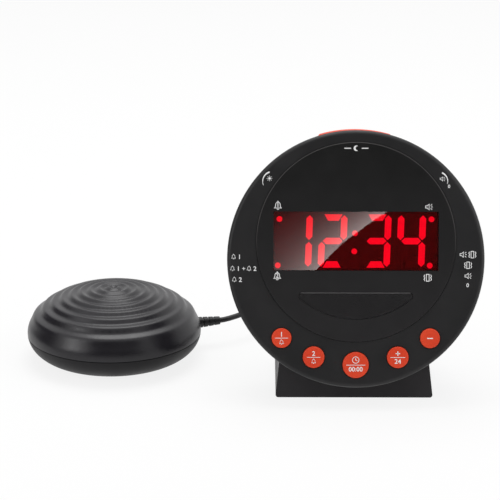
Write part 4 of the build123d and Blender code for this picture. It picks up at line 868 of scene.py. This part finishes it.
# Signs round each button's own middle
BUTTON_LINE = 0.28
BUTTON_PLUS = (1.25, 0.5)
BUTTON_MINUS = (1.6, 0.55)
BUTTONS = {
    "al1_button": [(number, 0.0, 2.1, 2.5, "1"), (bar, 0.0, 0.0, 3.6, BUTTON_LINE),
                   (bell, 0.0, -2.2, ROW_BELL)],
    "al2_button": [(number, 0.0, 2.1, 2.5, "2"), (bar, 0.0, 0.0, 3.6, BUTTON_LINE),
                   (bell, 0.0, -2.2, ROW_BELL)],
    "time_button": [(bar, 0.0, 0.0, 5.2, BUTTON_LINE), (dial, 0.0, 2.75, 1.75, BUTTON_LINE),
                    (number, 0.0, -2.2, 2.4, "00:00")],
    "up_button": [(plus, 0.0, 2.1, *BUTTON_PLUS), (bar, 0.0, 0.0, 4.0, BUTTON_LINE),
                  (number, 0.0, -2.1, 2.5, "24")],
    "down_button": [(bar, 0.0, 0.0, *BUTTON_MINUS)],
}
for name, signs in BUTTONS.items():
    across = middle_of(name, ACROSS) - FACE.dot(ACROSS)
    up = middle_of(name, UP) - FACE.dot(UP)
    print_signs(name.replace("button", "print"), name, f"{name}_body", signs, across, up)

# Floor and cards, in metres
FLOOR_HALF = 6.0
FLOOR_TONE = 0.9
# Share of the floor's plain white in what is seen of it. The rest is lit, and carries the shadow.
FLOOR_GLOW = 0.84

# Upright cards, seen only in reflections: ends on the ground plan, foot and top, colour and strength.
# The dark ones keep the black front dark, as in a studio, and the bright one gives the shaker its soft patch.
CARDS = {
    "dark_card": ((-1.6, -2.2), (1.8, -2.2), -0.2, 2.2, linear(60, 60, 60), 0.35),
    "side_card": ((-1.7, -2.0), (-1.7, 1.8), -0.1, 1.2, linear(90, 90, 90), 0.15),
    "patch_card": ((-1.3, -0.62), (-0.98, -0.92), 0.42, 0.8, WHITE, 8.0),
}

# Glare on the window: its slanting edge across and up on the front, and how far to the left of it the card
# goes on, both in millimetres. It stands where the window mirrors it, at a distance in metres.
GLARE_EDGE = [(-22.5, -6.6), (-19.0, -3.0), (-15.6, 0.5), (-12.1, 4.0), (-8.5, 7.5), (-4.4, 11.0),
              (0.3, 14.4), (5.0, 17.9), (10.7, 21.8), (17.2, 26.2)]
GLARE_AWAY = [0.0, 4.0, 8.0, 13.0, 19.0, 27.0, 38.0, 52.0, 66.0]
GLARE_DISTANCE = 1.35
GLARE_LEVEL = 0.26
GLARE_FADE = 15.5
GLARE_TINT = (1.0, 0.96, 0.94)
GLARE_STRENGTH = 24.0


def stage_piece(name, points, faces, surface):
    """Flat piece of the stage."""
    mesh = bpy.data.meshes.new(name)
    mesh.from_pydata([tuple(point) for point in points], [], faces)
    mesh.materials.append(surface.material)
    made = add_object(name, mesh)
    return made


def floor_finish():
    """White floor that stays white where the lamps fall off and keeps the object's shadow."""
    s = Surface("floor_white")
    s.set(Base_Color=(FLOOR_TONE, FLOOR_TONE, FLOOR_TONE, 1.0), Roughness=0.9, Specular_IOR_Level=0.0)
    white = s.node("ShaderNodeEmission")
    white.inputs["Strength"].default_value = 1.0
    part = s.node("ShaderNodeMath", operation="MULTIPLY")
    s.link(seen_directly(s.tree), part.inputs[0])
    part.inputs[1].default_value = FLOOR_GLOW
    mix_shaders(s.tree, part.outputs[0], s.shader, white, s.output)
    return s


def card_finish(name, colour, strength):
    """Glowing card. Without a colour it glows as its mesh's own shade says."""
    s = Surface(name)
    glow = s.node("ShaderNodeEmission")
    glow.inputs["Strength"].default_value = strength
    if colour is None:
        s.link(s.node("ShaderNodeVertexColor", layer_name="shade").outputs["Color"], glow.inputs["Color"])
    else:
        glow.inputs["Color"].default_value = colour
    s.link(glow.outputs[0], s.output.inputs["Surface"])
    return s


def reflection_only(card):
    """Lets only reflections see a card."""
    card.visible_camera = False
    card.visible_diffuse = False
    card.visible_shadow = False
    card.visible_transmission = False
    card.visible_volume_scatter = False


def mirrored(across, up, distance):
    """Where the camera's ray to a place on the window goes on to after the window mirrors it."""
    spot = on_face(across, up, -WINDOW_PROUD)
    ray = (spot - camera.location).normalized()
    back = ray - 2 * ray.dot(OUT) * OUT
    return spot + back * distance


corners = [(x * FLOOR_HALF, y * FLOOR_HALF, 0) for x, y in ((-1, -1), (1, -1), (1, 1), (-1, 1))]
stage_piece("floor", corners, [(0, 1, 2, 3)], floor_finish())
for name, (start, end, foot, top, colour, strength) in CARDS.items():
    corners = [(*start, foot), (*end, foot), (*end, top), (*start, top)]
    reflection_only(stage_piece(name, corners, [(0, 1, 2, 3)], card_finish(name, colour, strength)))

glare_points = [mirrored(across - away, up, GLARE_DISTANCE)
                for across, up in GLARE_EDGE for away in GLARE_AWAY]
glare_faces = []
row = len(GLARE_AWAY)
for i in range(len(GLARE_EDGE) - 1):
    for j in range(row - 1):
        first = i * row + j
        glare_faces.append((first, first + 1, first + 1 + row, first + row))
glare = stage_piece("glare_card", glare_points, glare_faces,
                    card_finish("glare_card", None, GLARE_STRENGTH))
shade = glare.data.color_attributes.new("shade", "FLOAT_COLOR", "POINT")
for index in range(len(glare_points)):
    level = GLARE_LEVEL * math.exp(-GLARE_AWAY[index % row] / GLARE_FADE)
    shade.data[index].color = (*[level * part for part in GLARE_TINT], 1.0)
reflection_only(glare)

# Lights: place, target, width, height or None for a square, and power
SOFTBOXES = {
    "top_softbox": ((0.0, 0.35, 1.35), (0.0, 0.0, 0.0), 0.9, None, 10.5),
    "left_softbox": ((-1.2, -0.5, 0.7), (0.0, 0.0, 0.06), 0.8, 1.2, 2.2),
    "right_softbox": ((1.3, -0.3, 0.7), (0.0, 0.0, 0.06), 0.8, 1.2, 4.6),
}
WORLD_LIGHT = 0.55

for name, (place, target, wide, tall, power) in SOFTBOXES.items():
    data = bpy.data.lights.new(name, "AREA")
    data.energy = power
    data.size = wide
    if tall is not None:
        data.shape = "RECTANGLE"
        data.size_y = tall
    lamp = add_object(name, data)
    lamp.location = place
    lamp.rotation_euler = (Vector(target) - Vector(place)).to_track_quat("-Z", "Y").to_euler()

# World: dim for the light on the object, plain white where it is seen
world = bpy.data.worlds.new("studio")
bpy.context.scene.world = world
world.use_nodes = True
tree = world.node_tree
tree.nodes.clear()
backgrounds = []
for strength in (WORLD_LIGHT, 1.0):
    background = tree.nodes.new("ShaderNodeBackground")
    background.inputs["Color"].default_value = WHITE
    background.inputs["Strength"].default_value = strength
    backgrounds.append(background)
mix_shaders(tree, seen_directly(tree), *backgrounds, tree.nodes.new("ShaderNodeOutputWorld"))
bpy.context.scene.view_settings.view_transform = "Standard"
